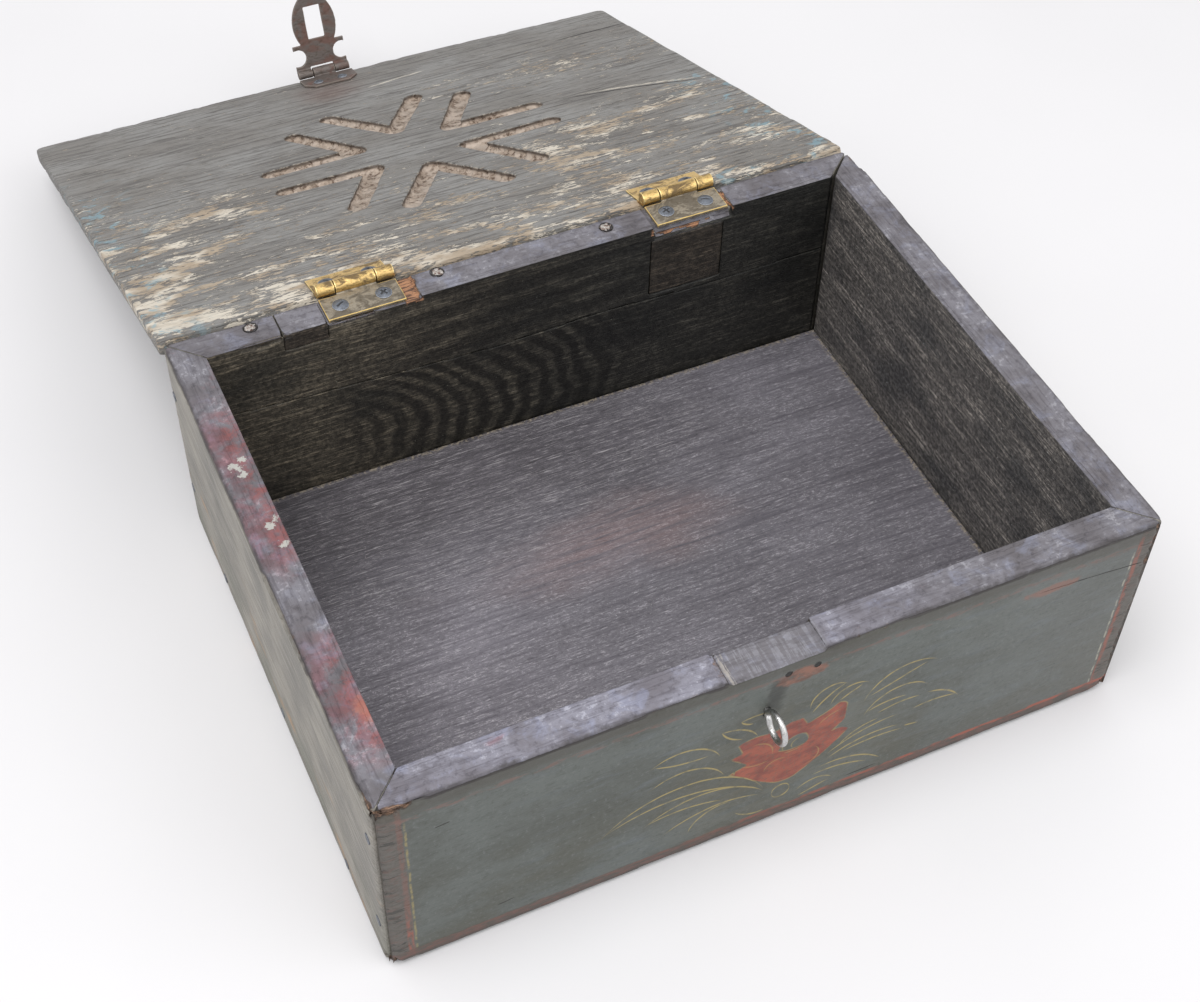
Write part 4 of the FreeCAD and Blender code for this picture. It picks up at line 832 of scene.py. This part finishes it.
def lid_finish(colours):
    """Grey weathered lid: rubbed cream grain, traces of blue, cracks and raw gouged strokes, with painted shade
    on the strokes' walls.
    """
    finish = Finish("lid wood", of_lid=True)
    grain = finish.noise((30, 1.5, 1.5), 5, 0.64, 0.35)
    fine = finish.noise((5, 0.42, 0.42), 3, 0.65)
    pores = finish.noise((6.5, 0.55, 0.55), 2, 0.6)
    cloud = finish.noise((46, 26, 26), 4, 0.6)
    colour = finish.blend(finish.step(cloud, 0.35, 0.65), seen(126, 123, 119), colours.lid)
    colour = finish.blend(finish.step(grain, 0.54, 0.34), colour, colours.lid_dark)
    colour = finish.tint(finish.step(fine, 0.5, 0.3), colour, (0.7, 0.69, 0.68))
    colour = finish.tint(finish.step(pores, 0.4, 0.3), colour, (0.45, 0.43, 0.41))

    back = finish.both(finish.y, -1.0)
    flat = finish.flat(finish.x, back)
    patches = finish.noise((30, 12, 12), 4, 0.62, 0.4)
    near = finish.step(back, 100, 6)
    corner = finish.both(finish.step(finish.x, 78, 6), finish.step(back, 165, 50), 1.5)
    spot = finish.away(flat, (45, 85, 0))
    corner = finish.either(corner, finish.both(finish.step(spot, 30, 8), 1.3))
    band = finish.both(finish.step(finish.x, 120, 165), finish.step(back, 24, 50))
    band = finish.both(band, finish.step(back, 112, 76))
    upper = finish.both(finish.step(finish.x, 128, 150), finish.step(back, 124, 140))
    upper = finish.both(upper, finish.step(back, 176, 156), 0.55)
    amount = finish.either(near, corner, band, upper)
    clumps = finish.step(patches, 0.4, 0.62)
    lonely = finish.scaled(clumps, 0.06, -0.035)
    amount = finish.scaled(amount, finish.scaled(clumps, 0.2, 0.08), lonely)
    ledge = finish.both(finish.step(back, 5.5, 2.5), finish.step(finish.x, 82, 100), 0.12)
    amount = finish.plus(amount, ledge)
    dash = finish.noise((3.8, 0.95, 0.95), 4, 0.68, 0.5)
    rubbed = finish.plus(dash, finish.both(amount, 0.7))
    around = finish.step(rubbed, 0.6, 0.66)
    rubbed = finish.step(rubbed, 0.664, 0.69)
    tint = finish.blend(finish.step(finish.noise((16, 8, 8), 3), 0.42, 0.6), seen(176, 158, 136), colours.cream)
    colour = finish.blend(finish.both(around, 0.5), colour, seen(104, 96, 88))
    colour = finish.blend(finish.both(rubbed, 0.92), colour, tint)
    haze = finish.both(finish.step(finish.plus(grain, finish.both(amount, 0.5)), 0.62, 0.76), 0.28)
    colour = finish.blend(finish.both(haze, 0.7), colour, seen(172, 166, 156))

    traces = finish.step(finish.noise((9, 6, 6), 4, 0.65, 0.5), 0.55, 0.64)
    left = finish.both(finish.step(finish.x, 24, 4), finish.step(back, 165, 120))
    right = finish.both(finish.step(finish.x, 218, 240), finish.step(back, 120, 90))
    hinges = finish.both(finish.step(back, 12, 3), finish.step(finish.x, 190, 205))
    traces = finish.both(traces, finish.either(left, right, hinges))
    colour = finish.blend(finish.both(traces, 0.62), colour, colours.blue)

    stain = finish.away(flat, (114, 184, 0))
    stain = finish.step(finish.scaled(cloud, 14.0, stain), 26, 8)
    colour = finish.blend(finish.both(stain, 0.4), colour, seen(122, 98, 92))

    wobble = finish.scaled(finish.noise(9, 4, 0.6), 2.4, -1.2)
    lines = ((212, 177.4, 250, 178, 0.2), (186, 111.6, 245, 92.6, 1.6), (126, 178, 156, 182, 0.3))
    split = finish.strokes(flat, lines[:2], 1.0)
    split = finish.scaled(wobble, 0.25, split)
    pale = finish.step(finish.strokes(flat, ((190, 112.5, 243, 95.6, 1.6), lines[2]), 2.4), 0.2, 0.9)
    pale = finish.both(pale, finish.step(fine, 0.42, 0.55))
    colour = finish.blend(finish.both(pale, 0.8), colour, colours.cream)
    split = finish.step(split, 0.0, 0.25)
    colour = finish.blend(split, colour, seen(44, 40, 38))

    depth = finish.attribute("gouge")
    fibre = finish.noise((2.6, 1.7, 1.7), 5, 0.72, 0.6)
    raw = finish.blend(finish.step(fibre, 0.36, 0.56), colours.gouge_dark, colours.gouge)
    chips = finish.step(finish.noise((4.4, 3.4, 3.4), 4, 0.66), 0.48, 0.56)
    raw = finish.blend(finish.both(chips, 0.8), raw, seen(222, 206, 192))
    cut = finish.step(finish.scaled(fibre, 0.5, depth), 0.55, 0.85)
    colour = finish.blend(cut, colour, raw)
    # Painted shade: the walls of the carved strokes, between their lip and their floor, are darkened as the
    # shade under the undercut edges.
    wall = finish.both(cut, finish.step(depth, 2.0, 1.1))
    colour = finish.blend(finish.both(wall, 0.75), colour, seen(56, 46, 40))
    lip = finish.both(finish.step(depth, 0.05, 0.3), finish.step(depth, 0.9, 0.5), finish.step(fibre, 0.5, 0.6))
    colour = finish.blend(finish.both(lip, 0.6), colour, colours.cream)

    outer = finish.step(finish.z, 4.0, 6.4)
    height = finish.scaled(fine, 0.32, finish.both(grain, 0.5))
    height = finish.scaled(finish.step(pores, 0.4, 0.3), -0.15, height)
    height = finish.scaled(rubbed, 0.14, height)
    height = finish.scaled(cut, finish.both(fibre, 1.6), height)
    height = finish.scaled(split, -1.2, height)
    edge = finish.both(finish.step(finish.x, 3.5, 0.5), finish.step(finish.z, 4.2, 5.4))
    colour = finish.blend(finish.both(edge, 0.6), colour, seen(150, 150, 148))
    colour = finish.blend(finish.both(outer, 0.6), colour, seen(104, 102, 98))
    return finish.done(colour, finish.scaled(fine, 0.2, 0.5), height)


def floor_finish(colours):
    """Dark violet-grey floor with rubbed pale grain, a reddish patch, dust along its edges and a painted pool
    of light at its front left.
    """
    finish = Finish("floor wood")
    grain = finish.noise((26, 1.1, 1.1), 5, 0.62, 0.6)
    fine = finish.noise((2.6, 0.4, 0.4), 3, 0.7, 0.5)
    dots = finish.noise((1.1, 0.9, 0.9), 4, 0.75)
    cloud = finish.noise((60, 40, 40), 4, 0.6)
    colour = finish.blend(finish.step(cloud, 0.34, 0.66), seen(106, 103, 109), colours.bottom)
    colour = finish.tint(finish.step(grain, 0.54, 0.36), colour, (0.76, 0.75, 0.77))
    colour = finish.tint(finish.step(fine, 0.46, 0.3), colour, (0.72, 0.71, 0.73))
    colour = finish.tint(finish.step(dots, 0.48, 0.34), colour, (0.72, 0.71, 0.72))
    streak = finish.either(finish.step(fine, 0.54, 0.66), finish.step(dots, 0.56, 0.68))
    streak = finish.both(streak, finish.step(grain, 0.34, 0.62), 0.6)
    colour = finish.blend(streak, colour, colours.bottom_light)
    far = finish.both(finish.step(finish.y, 100, 165), finish.step(finish.x, 215, 90))
    colour = finish.tint(far, colour, (0.62, 0.6, 0.6))
    scratch = finish.noise((8, 0.42, 0.42), 4, 0.75, 0.5)
    colour = finish.blend(finish.both(finish.step(scratch, 0.5, 0.4), far, 0.6), colour, seen(62, 60, 62))
    scratch = finish.both(finish.step(scratch, 0.57, 0.64), finish.step(far, 0.02, 0.3), 0.7)
    colour = finish.blend(scratch, colour, seen(176, 172, 174))
    # Painted light: the floor's front left part is made lighter, a painted pool of light where the left wall's
    # shade falls.
    left = finish.both(finish.step(finish.x, 120, 40), finish.step(finish.y, 140, 90))
    colour = finish.tint(left, colour, (1.3, 1.29, 1.29))
    flat = finish.flat(finish.x, finish.y)
    patch = finish.oval(flat, (118, 115, 0), (0.017, 0.05, 0))
    patch = finish.step(finish.scaled(cloud, 1.6, patch), 1.9, 0.7)
    patch = finish.both(patch, finish.step(grain, 0.3, 0.56), 0.36)
    colour = finish.blend(patch, colour, seen(150, 112, 104))
    back = finish.less(DEPTH - WALL, finish.y)
    right = finish.less(WIDTH - WALL, finish.x)
    dust = finish.least(back, right)
    dust = finish.scaled(finish.noise(5, 5, 0.7), 4.0, dust)
    dust = finish.step(dust, 4.0, 2.2)
    dust = finish.both(dust, finish.step(finish.noise(1.2, 3, 0.7), 0.42, 0.58))
    colour = finish.blend(finish.both(dust, 0.75), colour, seen(166, 154, 136))
    colour = finish.blend(finish.both(finish.scatter(1.0, 0.7), 0.6), colour, seen(190, 186, 184))
    height = finish.scaled(fine, 0.3, finish.both(grain, 0.4))
    height = finish.scaled(dust, 0.3, height)
    return finish.done(colour, finish.scaled(fine, 0.3, 0.3), height)


def metal_finish(name, base, dirt, dirt_share, roughness, size, edge, shine=1.0, dents=0.12):
    """Old metal: clean where it is rubbed, with dark grime, fine dents, a pale edge colour along its sharp
    convex edges that is partly rubbed metal and partly painted highlight, and driver slots painted near black
    as shade.
    """
    finish = Finish(name)
    cloud = finish.noise((size * 1.6, size, size), 5, 0.7, 0.8)
    fine = finish.noise((size / 4, size / 7, size / 7), 4, 0.65)
    grime = finish.step(cloud, 0.54 + dirt_share, 0.4 + dirt_share)
    grime = finish.either(grime, finish.both(finish.step(fine, 0.36, 0.26), 0.7))
    # Along the sharp convex edges the colour turns to the edge colour: partly rubbed metal, partly painted
    # highlight.
    rubbed = finish.scaled(fine, 0.5, finish.attribute("arris"))
    rubbed = finish.step(rubbed, 0.55, 0.95)
    # Painted shade: the sunk driver slots are coloured near black and not metallic, as the shade inside them.
    slot = finish.step(finish.attribute("slot"), 0.3, 0.7)
    colour = finish.blend(finish.both(grime, 0.85), base, dirt)
    colour = finish.tint(finish.step(fine, 0.52, 0.3), colour, (0.66, 0.62, 0.56))
    colour = finish.blend(finish.both(rubbed, 0.9), colour, edge)
    colour = finish.blend(finish.both(slot, 0.85), colour, seen(24, 22, 22))
    clean = finish.either(finish.less(1.0, grime), rubbed)
    metal = finish.scaled(clean, 0.7 * shine, 0.3 * shine)
    metal = finish.both(metal, finish.less(1.0, slot))
    rough = finish.scaled(clean, -0.25, roughness + 0.25)
    rough = finish.scaled(fine, 0.15, rough)
    height = finish.scaled(cloud, dents * 2, finish.both(fine, dents))
    return finish.done(colour, rough, height, metal, 0.5)


def coat(node, material):
    """Gives a frame node that keeps its own form its finish."""
    for slot in frame["nodes"][node].material_slots:
        slot.material = material


def bend_of(piece):
    """How sharply the surface bends outward at each point, per mm."""
    pairs = np.empty(len(piece.data.edges) * 2, np.int32)
    piece.data.edges.foreach_get("vertices", pairs)
    first, second = pairs.reshape(-1, 2).T
    points, normals = read(piece), read(piece, "normal")
    run = points[second] - points[first]
    turn = ((normals[second] - normals[first]) * run).sum(axis=1) / np.maximum((run ** 2).sum(axis=1), 1e-6)
    count = np.maximum(np.bincount(pairs, minlength=len(points)), 1)
    bend = np.bincount(pairs, np.repeat(turn, 2), len(points)) / count
    for pass_number in range(2):
        mean = np.bincount(first, bend[second], len(points)) + np.bincount(second, bend[first], len(points))
        bend = (bend + mean / count) / 2
    return bend


def sink_slot(points, normals, spot, facing, cross, turn, across=0.34, reach=1.55, depth=0.5):
    """Presses a driver's cross or slot into the screw head at a spot that faces up or down.
    Gives how much of each point is in it."""
    away = points[:, :2] - spot
    u = away[:, 0] * math.cos(turn) + away[:, 1] * math.sin(turn)
    v = away[:, 1] * math.cos(turn) - away[:, 0] * math.sin(turn)
    share = rise(across - np.abs(v), -0.12, 0.12) * rise(reach - np.abs(u), -0.12, 0.2)
    if cross:
        share = np.maximum(share, rise(across - np.abs(u), -0.12, 0.12) * rise(reach - np.abs(v), -0.12, 0.2))
    share = share * (normals[:, 2] * facing > 0.55)
    points[:, 2] -= facing * depth * share
    return share


# Operators, one for each piece or group of like pieces


class MakingPiece:
    """What the operators of the pieces share."""

    bl_options = {"REGISTER", "UNDO"}

    def sizes(self, context):
        """The sizes of this scene's box."""
        return context.scene.box_sizes

    def colours(self, context):
        """The colours of this scene's box."""
        return context.scene.box_colours

    def board(self, context, node, material, most=190000, skin=None):
        """A worn board that stands for its frame node."""
        sizes = self.sizes(context)
        piece = skin_of(node, node + "_worn", skin or sizes.board_skin)
        weather(piece, sizes.edge_wear * 1000, sizes.edge_round * 1000, sizes.face_wear * 1000)
        slim(piece, most)
        piece.data.materials.append(material)
        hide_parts(node)
        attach(piece, "box")
        return piece

    def metal(self, node, body, material, skin, cuts=()):
        """A dented, worn metal piece that stands for its frame node. A cut is a screw's place, whether its
        driver slot is a cross, and the slot's turn."""
        turned = body != "box"
        piece = skin_of(node, node + "_worn", skin, LID_TO_FLAT if turned else None)
        if turned:
            piece.data.transform(Matrix.Translation((0, FRONT / 1000, 0)))
        arris = np.clip(bend_of(piece) * 0.55, 0, 1)
        points, normals = read(piece), read(piece, "normal")
        slot = np.zeros(len(points))
        for spot, cross, turn in cuts:
            slot = np.maximum(slot, sink_slot(points, normals, spot, -1 if turned else 1, cross, turn))
        points -= normals * (0.05 * (1 + wavy(points / 2.2, 21)))[:, None]
        write(piece, points)
        mark(piece, "arris", arris)
        mark(piece, "slot", slot)
        if turned:
            piece.data.transform(FLAT_TO_LID @ Matrix.Translation((0, -FRONT / 1000, 0)))
        slim(piece, 60000)
        piece.data.materials.append(material)
        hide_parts(node)
        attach(piece, body)
        return piece


class OBJECT_OT_front_board(MakingPiece, bpy.types.Operator):
    """Front wall with its painted panel, flower and worn rim"""

    bl_idname = "candle_box.front_board"
    bl_label = "Front Board"

    def execute(self, context):
        material = board_finish("front paint", self.colours(context), 0, painted_front, 0.6, notch_rim)
        piece = self.board(context, "front_board", material)
        points = read(piece)
        flat = points[:, (0, 2)]
        mark(piece, "petal", np.maximum(
            off_outline(flat, rounded(FLOWER_SHAPE)), -off_outline(flat, rounded(HEART_SHAPE))
        ))
        return {"FINISHED"}


class OBJECT_OT_side_boards(MakingPiece, bpy.types.Operator):
    """The two side walls, weathered outside and dark inside, the right one's inner face with painted light"""

    bl_idname = "candle_box.side_boards"
    bl_label = "Side Boards"

    def execute(self, context):
        colours = self.colours(context)

        def weathered(finish, colours):
            return side_wood(finish, colours, 1)

        left = board_finish("left side wood", colours, 1, weathered, 0.64, red_rim)
        self.board(context, "left_side_board", left)
        # Painted light: the right wall's inner face gets a tone several times lighter and cooler than the left
        # one's, standing in for the light from the left that falls on it.
        right = board_finish("right side wood", colours, 1, weathered, 0.7, tone=(3.16, 3.6, 4.3))
        self.board(context, "right_side_board", right)
        return {"FINISHED"}


class OBJECT_OT_back_boards(MakingPiece, bpy.types.Operator):
    """The back wall's two boards, its let-in patches and the plugs of the old screw holes"""

    bl_idname = "candle_box.back_boards"
    bl_label = "Back Boards"

    def execute(self, context):
        colours = self.colours(context)

        def weathered(finish, colours):
            return side_wood(finish, colours, 0)

        def darker_right(finish):
            return finish.blend(finish.step(finish.x, 30, 170), (1.64, 1.74, 1.68), (0.56, 0.66, 0.73))

        for node, figure in (
            ("back_board_upper", ((150, 180, -30), (0.3, 0.03, 0.7), (118, 180, 62), 60, 0.8)),
            ("back_board_lower", ((-8, 180, 22), (0.82, 0.03, 1.9), (108, 180, 32), 68, 1.0)),
        ):
            wood = board_finish(
                node.replace("_", " ") + " wood", colours, 0, weathered, 0.74, figure=figure, tone=darker_right
            )
            self.board(context, node, wood)
        wood = board_finish("let-in wood", colours, 0, weathered, 0.74)
        for node in ("rim_patch", "back_wall_patch"):
            self.board(context, node, wood, 60000, self.sizes(context).small_skin)
        plug = Finish("plug wood")
        flat = plug.flat(plug.x, plug.y)
        away = plug.least(*(plug.away(flat, (*spot, 0)) for spot in spots_of("screw_hole_plugs")))
        fibre = plug.noise((1.0, 1.0, 3), 4, 0.7)
        ragged = plug.scaled(plug.noise(2.2, 4, 0.7), 5.0, away)
        colour = plug.blend(plug.step(fibre, 0.4, 0.54), seen(110, 82, 70), seen(206, 200, 194))
        # Painted shade: a dark ring round the whitish filler, as the shade in the unfilled edge of each hole.
        colour = plug.blend(plug.step(ragged, 3.7, 4.3), colour, seen(48, 44, 44))
        colour = plug.blend(plug.step(ragged, 4.7, 5.1), colour, seen(112, 110, 114))
        coat("screw_hole_plugs", plug.done(colour, 0.8, plug.both(ragged, -0.5)))
        return {"FINISHED"}


class OBJECT_OT_floor_board(MakingPiece, bpy.types.Operator):
    """The dark inner floor"""

    bl_idname = "candle_box.floor_board"
    bl_label = "Floor Board"

    def execute(self, context):
        self.board(context, "floor_board", floor_finish(self.colours(context)))
        return {"FINISHED"}


class OBJECT_OT_lid_board(MakingPiece, bpy.types.Operator):
    """The lid with its rough carved strokes"""

    bl_idname = "candle_box.lid_board"
    bl_label = "Lid Board"

    def execute(self, context):
        sizes = self.sizes(context)
        piece = skin_of("lid_board", "lid_board_worn", sizes.lid_skin, LID_TO_FLAT)
        points = read(piece) + (0, FRONT, 0)
        normals = read(piece, "normal")
        x, s, b = points[:, 0], -points[:, 1], points[:, 2]
        carved = np.hypot(x - CARVING_MIDDLE[0], s - CARVING_MIDDLE[1]) < CARVING_REACH
        depth = np.where(carved & (b < 5.2), b - b.min(), 0)
        gouge = rise(depth, 0.5, 1.4)
        rough = wavy(points / (3.4, 2.6, 2.6), 11) + 0.6 * wavy(points / 1.3, 12)
        inward = gouge * sizes.gouge_roughness * 1000 * np.clip(0.45 + 0.55 * rough, 0, 1.4)
        lip = rise(depth, 0.02, 0.35) * (1 - rise(depth, 0.8, 1.8))
        inward += lip * 0.7 * np.clip(wavy(points / 2.1, 13), 0, 1)
        inward += sizes.face_wear * 500 * (1 + wavy(points / (40, 14, 14), 14)) * (1 - gouge)
        ends = np.minimum(np.minimum(x + 3, 248 - x), np.minimum(s, 203 - s))
        knock = np.clip(wavy(points / 6, 15) + 0.4 * wavy(points / 1.8, 16), 0, 1)
        inward += sizes.edge_wear * 1000 * knock * rise(2.6 - ends, 0, 2.6)
        write(piece, points - (0, FRONT, 0) - normals * inward[:, None])
        mark(piece, "gouge", depth)
        slim(piece, 195000)
        piece.data.transform(FLAT_TO_LID)
        piece.data.materials.append(lid_finish(self.colours(context)))
        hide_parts("lid_board")
        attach(piece, "lid")
        return {"FINISHED"}


class OBJECT_OT_hinges(MakingPiece, bpy.types.Operator):
    """The two brass butt hinges, dented and darkened, with rubbed edges that are partly a painted highlight"""

    bl_idname = "candle_box.hinges"
    bl_label = "Hinges"

    def execute(self, context):
        colours = self.colours(context)
        # These edge colours are partly rubbed brass and partly painted highlight along the sharp edges.
        edge, dull_edge_and_highlight = seen(246, 222, 160), seen(224, 194, 124)
        brass = metal_finish("aged brass", colours.brass, seen(84, 66, 44), 0.0, 0.26, 4, edge)
        dull = metal_finish(
            "dull brass plate", colours.brass_dull, seen(92, 84, 72), 0.02, 0.42, 5, dull_edge_and_highlight, 0.6
        )
        skin = self.sizes(context).metal_skin
        for side in ("left", "right"):
            leaf = self.metal(f"hinge_{side}_box_leaf", "box", dull, skin)
            leaf.data.materials.append(brass)
            points = read(leaf)
            for face in leaf.data.polygons:
                x, y, z = points[face.vertices[0]]
                if z > HEIGHT + 0.35 and y > DEPTH - 0.6:
                    face.material_index = 1
            self.metal(f"hinge_{side}_lid_leaf", "lid", brass, skin)
            coat(f"hinge_{side}_pin", brass)
        return {"FINISHED"}


class OBJECT_OT_screws(MakingPiece, bpy.types.Operator):
    """Grey steel screws with their driver slots, and the nails"""

    bl_idname = "candle_box.screws"
    bl_label = "Screws and Nails"

    def execute(self, context):
        colours = self.colours(context)
        # The edge colour is partly rubbed steel and partly painted highlight along the heads' sharp edges.
        edge = seen(158, 161, 168)
        steel = metal_finish("screw steel", colours.steel, seen(84, 87, 93), -0.02, 0.42, 3, edge, 0.7)
        spots = sorted(spots_of("box_hinge_screws"))
        skin = self.sizes(context).metal_skin * 0.75
        cuts = [(spots[0], False, 0.5), (spots[1], True, 0.6), (spots[2], True, 0.3), (spots[3], False, -0.4)]
        self.metal("box_hinge_screws", "box", steel, skin, cuts)
        pin = PIN.y * 1000 - FRONT
        on_lid = [((x, y - pin), index % 2 == 1, 0.8 - index * 0.5) for index, (x, y) in enumerate(spots)]
        self.metal("lid_hinge_screws", "lid", steel, skin, on_lid)
        low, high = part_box("hasp_plate")
        middle = (low.x + high.x) * 500 - LEFT
        on_plate = [((middle + way * HASP_SCREWS[0], -HASP_SCREWS[1]), False, 0.35 * way) for way in (-1, 1)]
        self.metal("hasp_screws", "lid", steel, skin, on_plate)
        for node in ("corner_nails", "floor_nails"):
            coat(node, steel)
        return {"FINISHED"}


class OBJECT_OT_hasp(MakingPiece, bpy.types.Operator):
    """Rusty iron plate and tongue of the hasp"""

    bl_idname = "candle_box.hasp"
    bl_label = "Hasp"

    def execute(self, context):
        colours = self.colours(context)
        # The edge colour is partly rubbed iron and partly painted highlight along the sharp edges.
        edge = seen(134, 124, 116)
        iron = metal_finish("rusty iron", colours.iron, colours.rust, 0.0, 0.5, 8, edge, 0.45, 0.2)
        skin = self.sizes(context).metal_skin
        self.metal("hasp_plate", "lid", iron, skin)
        self.metal("hasp_tongue", "hasp", iron, skin)
        coat("hasp_pin", iron)
        return {"FINISHED"}


class OBJECT_OT_staple(MakingPiece, bpy.types.Operator):
    """Bright steel wire eye in the front"""

    bl_idname = "candle_box.staple"
    bl_label = "Staple Eye"

    def execute(self, context):
        colours = self.colours(context)
        wire = metal_finish("bright wire", colours.wire, seen(96, 88, 80), -0.1, 0.22, 3, colours.wire)
        self.metal("staple_eye", "box", wire, self.sizes(context).metal_skin)
        return {"FINISHED"}


class OBJECT_OT_stage(MakingPiece, bpy.types.Operator):
    """Pale table, soft studio light and the camera at the photograph's angle"""

    bl_idname = "candle_box.stage"
    bl_label = "Stage"

    def execute(self, context):
        side = self.sizes(context).table_size
        bpy.ops.object.select_all(action="DESELECT")
        bpy.ops.mesh.primitive_plane_add(size=side, location=(0, 0, 0))
        table = context.object
        table.name = "table"
        top = Finish("table top")
        cloud = top.noise(260, 3, 0.5)
        pale = self.colours(context).table
        colour = top.blend(top.step(cloud, 0.3, 0.7), pale, [channel * 0.96 for channel in pale])
        table.data.materials.append(top.done(colour, 0.75, gloss=0.2))

        world = context.scene.world or bpy.data.worlds.new("studio")
        context.scene.world = world
        world.use_nodes = True
        tree = world.node_tree
        tree.nodes.clear()
        path = tree.nodes.new("ShaderNodeLightPath")
        rays = path.outputs["Is Camera Ray"]
        for name in ("Is Glossy Ray", "Is Transmission Ray"):
            larger = tree.nodes.new("ShaderNodeMath")
            larger.operation = "MAXIMUM"
            tree.links.new(rays, larger.inputs[0])
            tree.links.new(path.outputs[name], larger.inputs[1])
            rays = larger.outputs[0]
        air = tree.nodes.new("ShaderNodeBackground")
        air.inputs["Color"].default_value = (1, 1, 1, 1)
        air.inputs["Strength"].default_value = ROOM_LIGHT
        back = tree.nodes.new("ShaderNodeBackground")
        back.inputs["Color"].default_value = (1, 1, 1, 1)
        back.inputs["Strength"].default_value = BACKGROUND_LIGHT
        both = tree.nodes.new("ShaderNodeMixShader")
        tree.links.new(rays, both.inputs[0])
        tree.links.new(air.outputs[0], both.inputs[1])
        tree.links.new(back.outputs[0], both.inputs[2])
        out = tree.nodes.new("ShaderNodeOutputWorld")
        tree.links.new(both.outputs[0], out.inputs["Surface"])

        for name, place, size, power in (
            ("window light", (-0.55, -0.25, 1.6), 1.1, 17.5),
            ("fill light", (0.9, -1.1, 1.1), 1.4, 8),
        ):
            lamp = bpy.data.lights.new(name, "AREA")
            lamp.size = size
            lamp.energy = power
            holder = bpy.data.objects.new(name, lamp)
            context.collection.objects.link(holder)
            holder.location = place
            holder.rotation_euler = (-Vector(place)).to_track_quat("-Z", "Y").to_euler()

        camera = bpy.data.objects.new("camera", bpy.data.cameras.new("camera"))
        context.collection.objects.link(camera)
        camera.data.sensor_width = 36
        camera.data.lens = CAMERA_LENS
        camera.data.clip_start = 0.01
        camera.location = CAMERA_PLACE
        camera.rotation_euler = [math.radians(turn) for turn in CAMERA_TURN]
        context.scene.camera = camera
        context.scene.view_settings.view_transform = "Standard"
        return {"FINISHED"}


class VIEW3D_PT_candle_box(bpy.types.Panel):
    """Lists the pieces of the candle box"""

    bl_label = "Candle Box"
    bl_idname = "VIEW3D_PT_candle_box"
    bl_space_type = "VIEW_3D"
    bl_region_type = "UI"
    bl_category = "Candle Box"

    def draw(self, context):
        for piece in PIECES:
            self.layout.operator(piece.bl_idname)
        for group in (context.scene.box_sizes, context.scene.box_colours):
            column = self.layout.column()
            for key in group.bl_rna.properties.keys():
                if key not in ("rna_type", "name"):
                    column.prop(group, key)


PIECES = (
    OBJECT_OT_front_board, OBJECT_OT_side_boards, OBJECT_OT_back_boards, OBJECT_OT_floor_board,
    OBJECT_OT_lid_board, OBJECT_OT_hinges, OBJECT_OT_screws, OBJECT_OT_hasp, OBJECT_OT_staple, OBJECT_OT_stage,
)
CLASSES = (CandleBoxSizes, CandleBoxColours, *PIECES, VIEW3D_PT_candle_box)


def register():
    for cls in CLASSES:
        bpy.utils.register_class(cls)
    bpy.types.Scene.box_sizes = bpy.props.PointerProperty(type=CandleBoxSizes)
    bpy.types.Scene.box_colours = bpy.props.PointerProperty(type=CandleBoxColours)


def unregister():
    del bpy.types.Scene.box_colours
    del bpy.types.Scene.box_sizes
    for cls in reversed(CLASSES):
        bpy.utils.unregister_class(cls)


def main():
    register()
    for piece in PIECES:
        section, name = piece.bl_idname.split(".")
        getattr(getattr(bpy.ops, section), name)()
    bpy.context.view_layer.update()


if __name__ == "__main__":
    main()
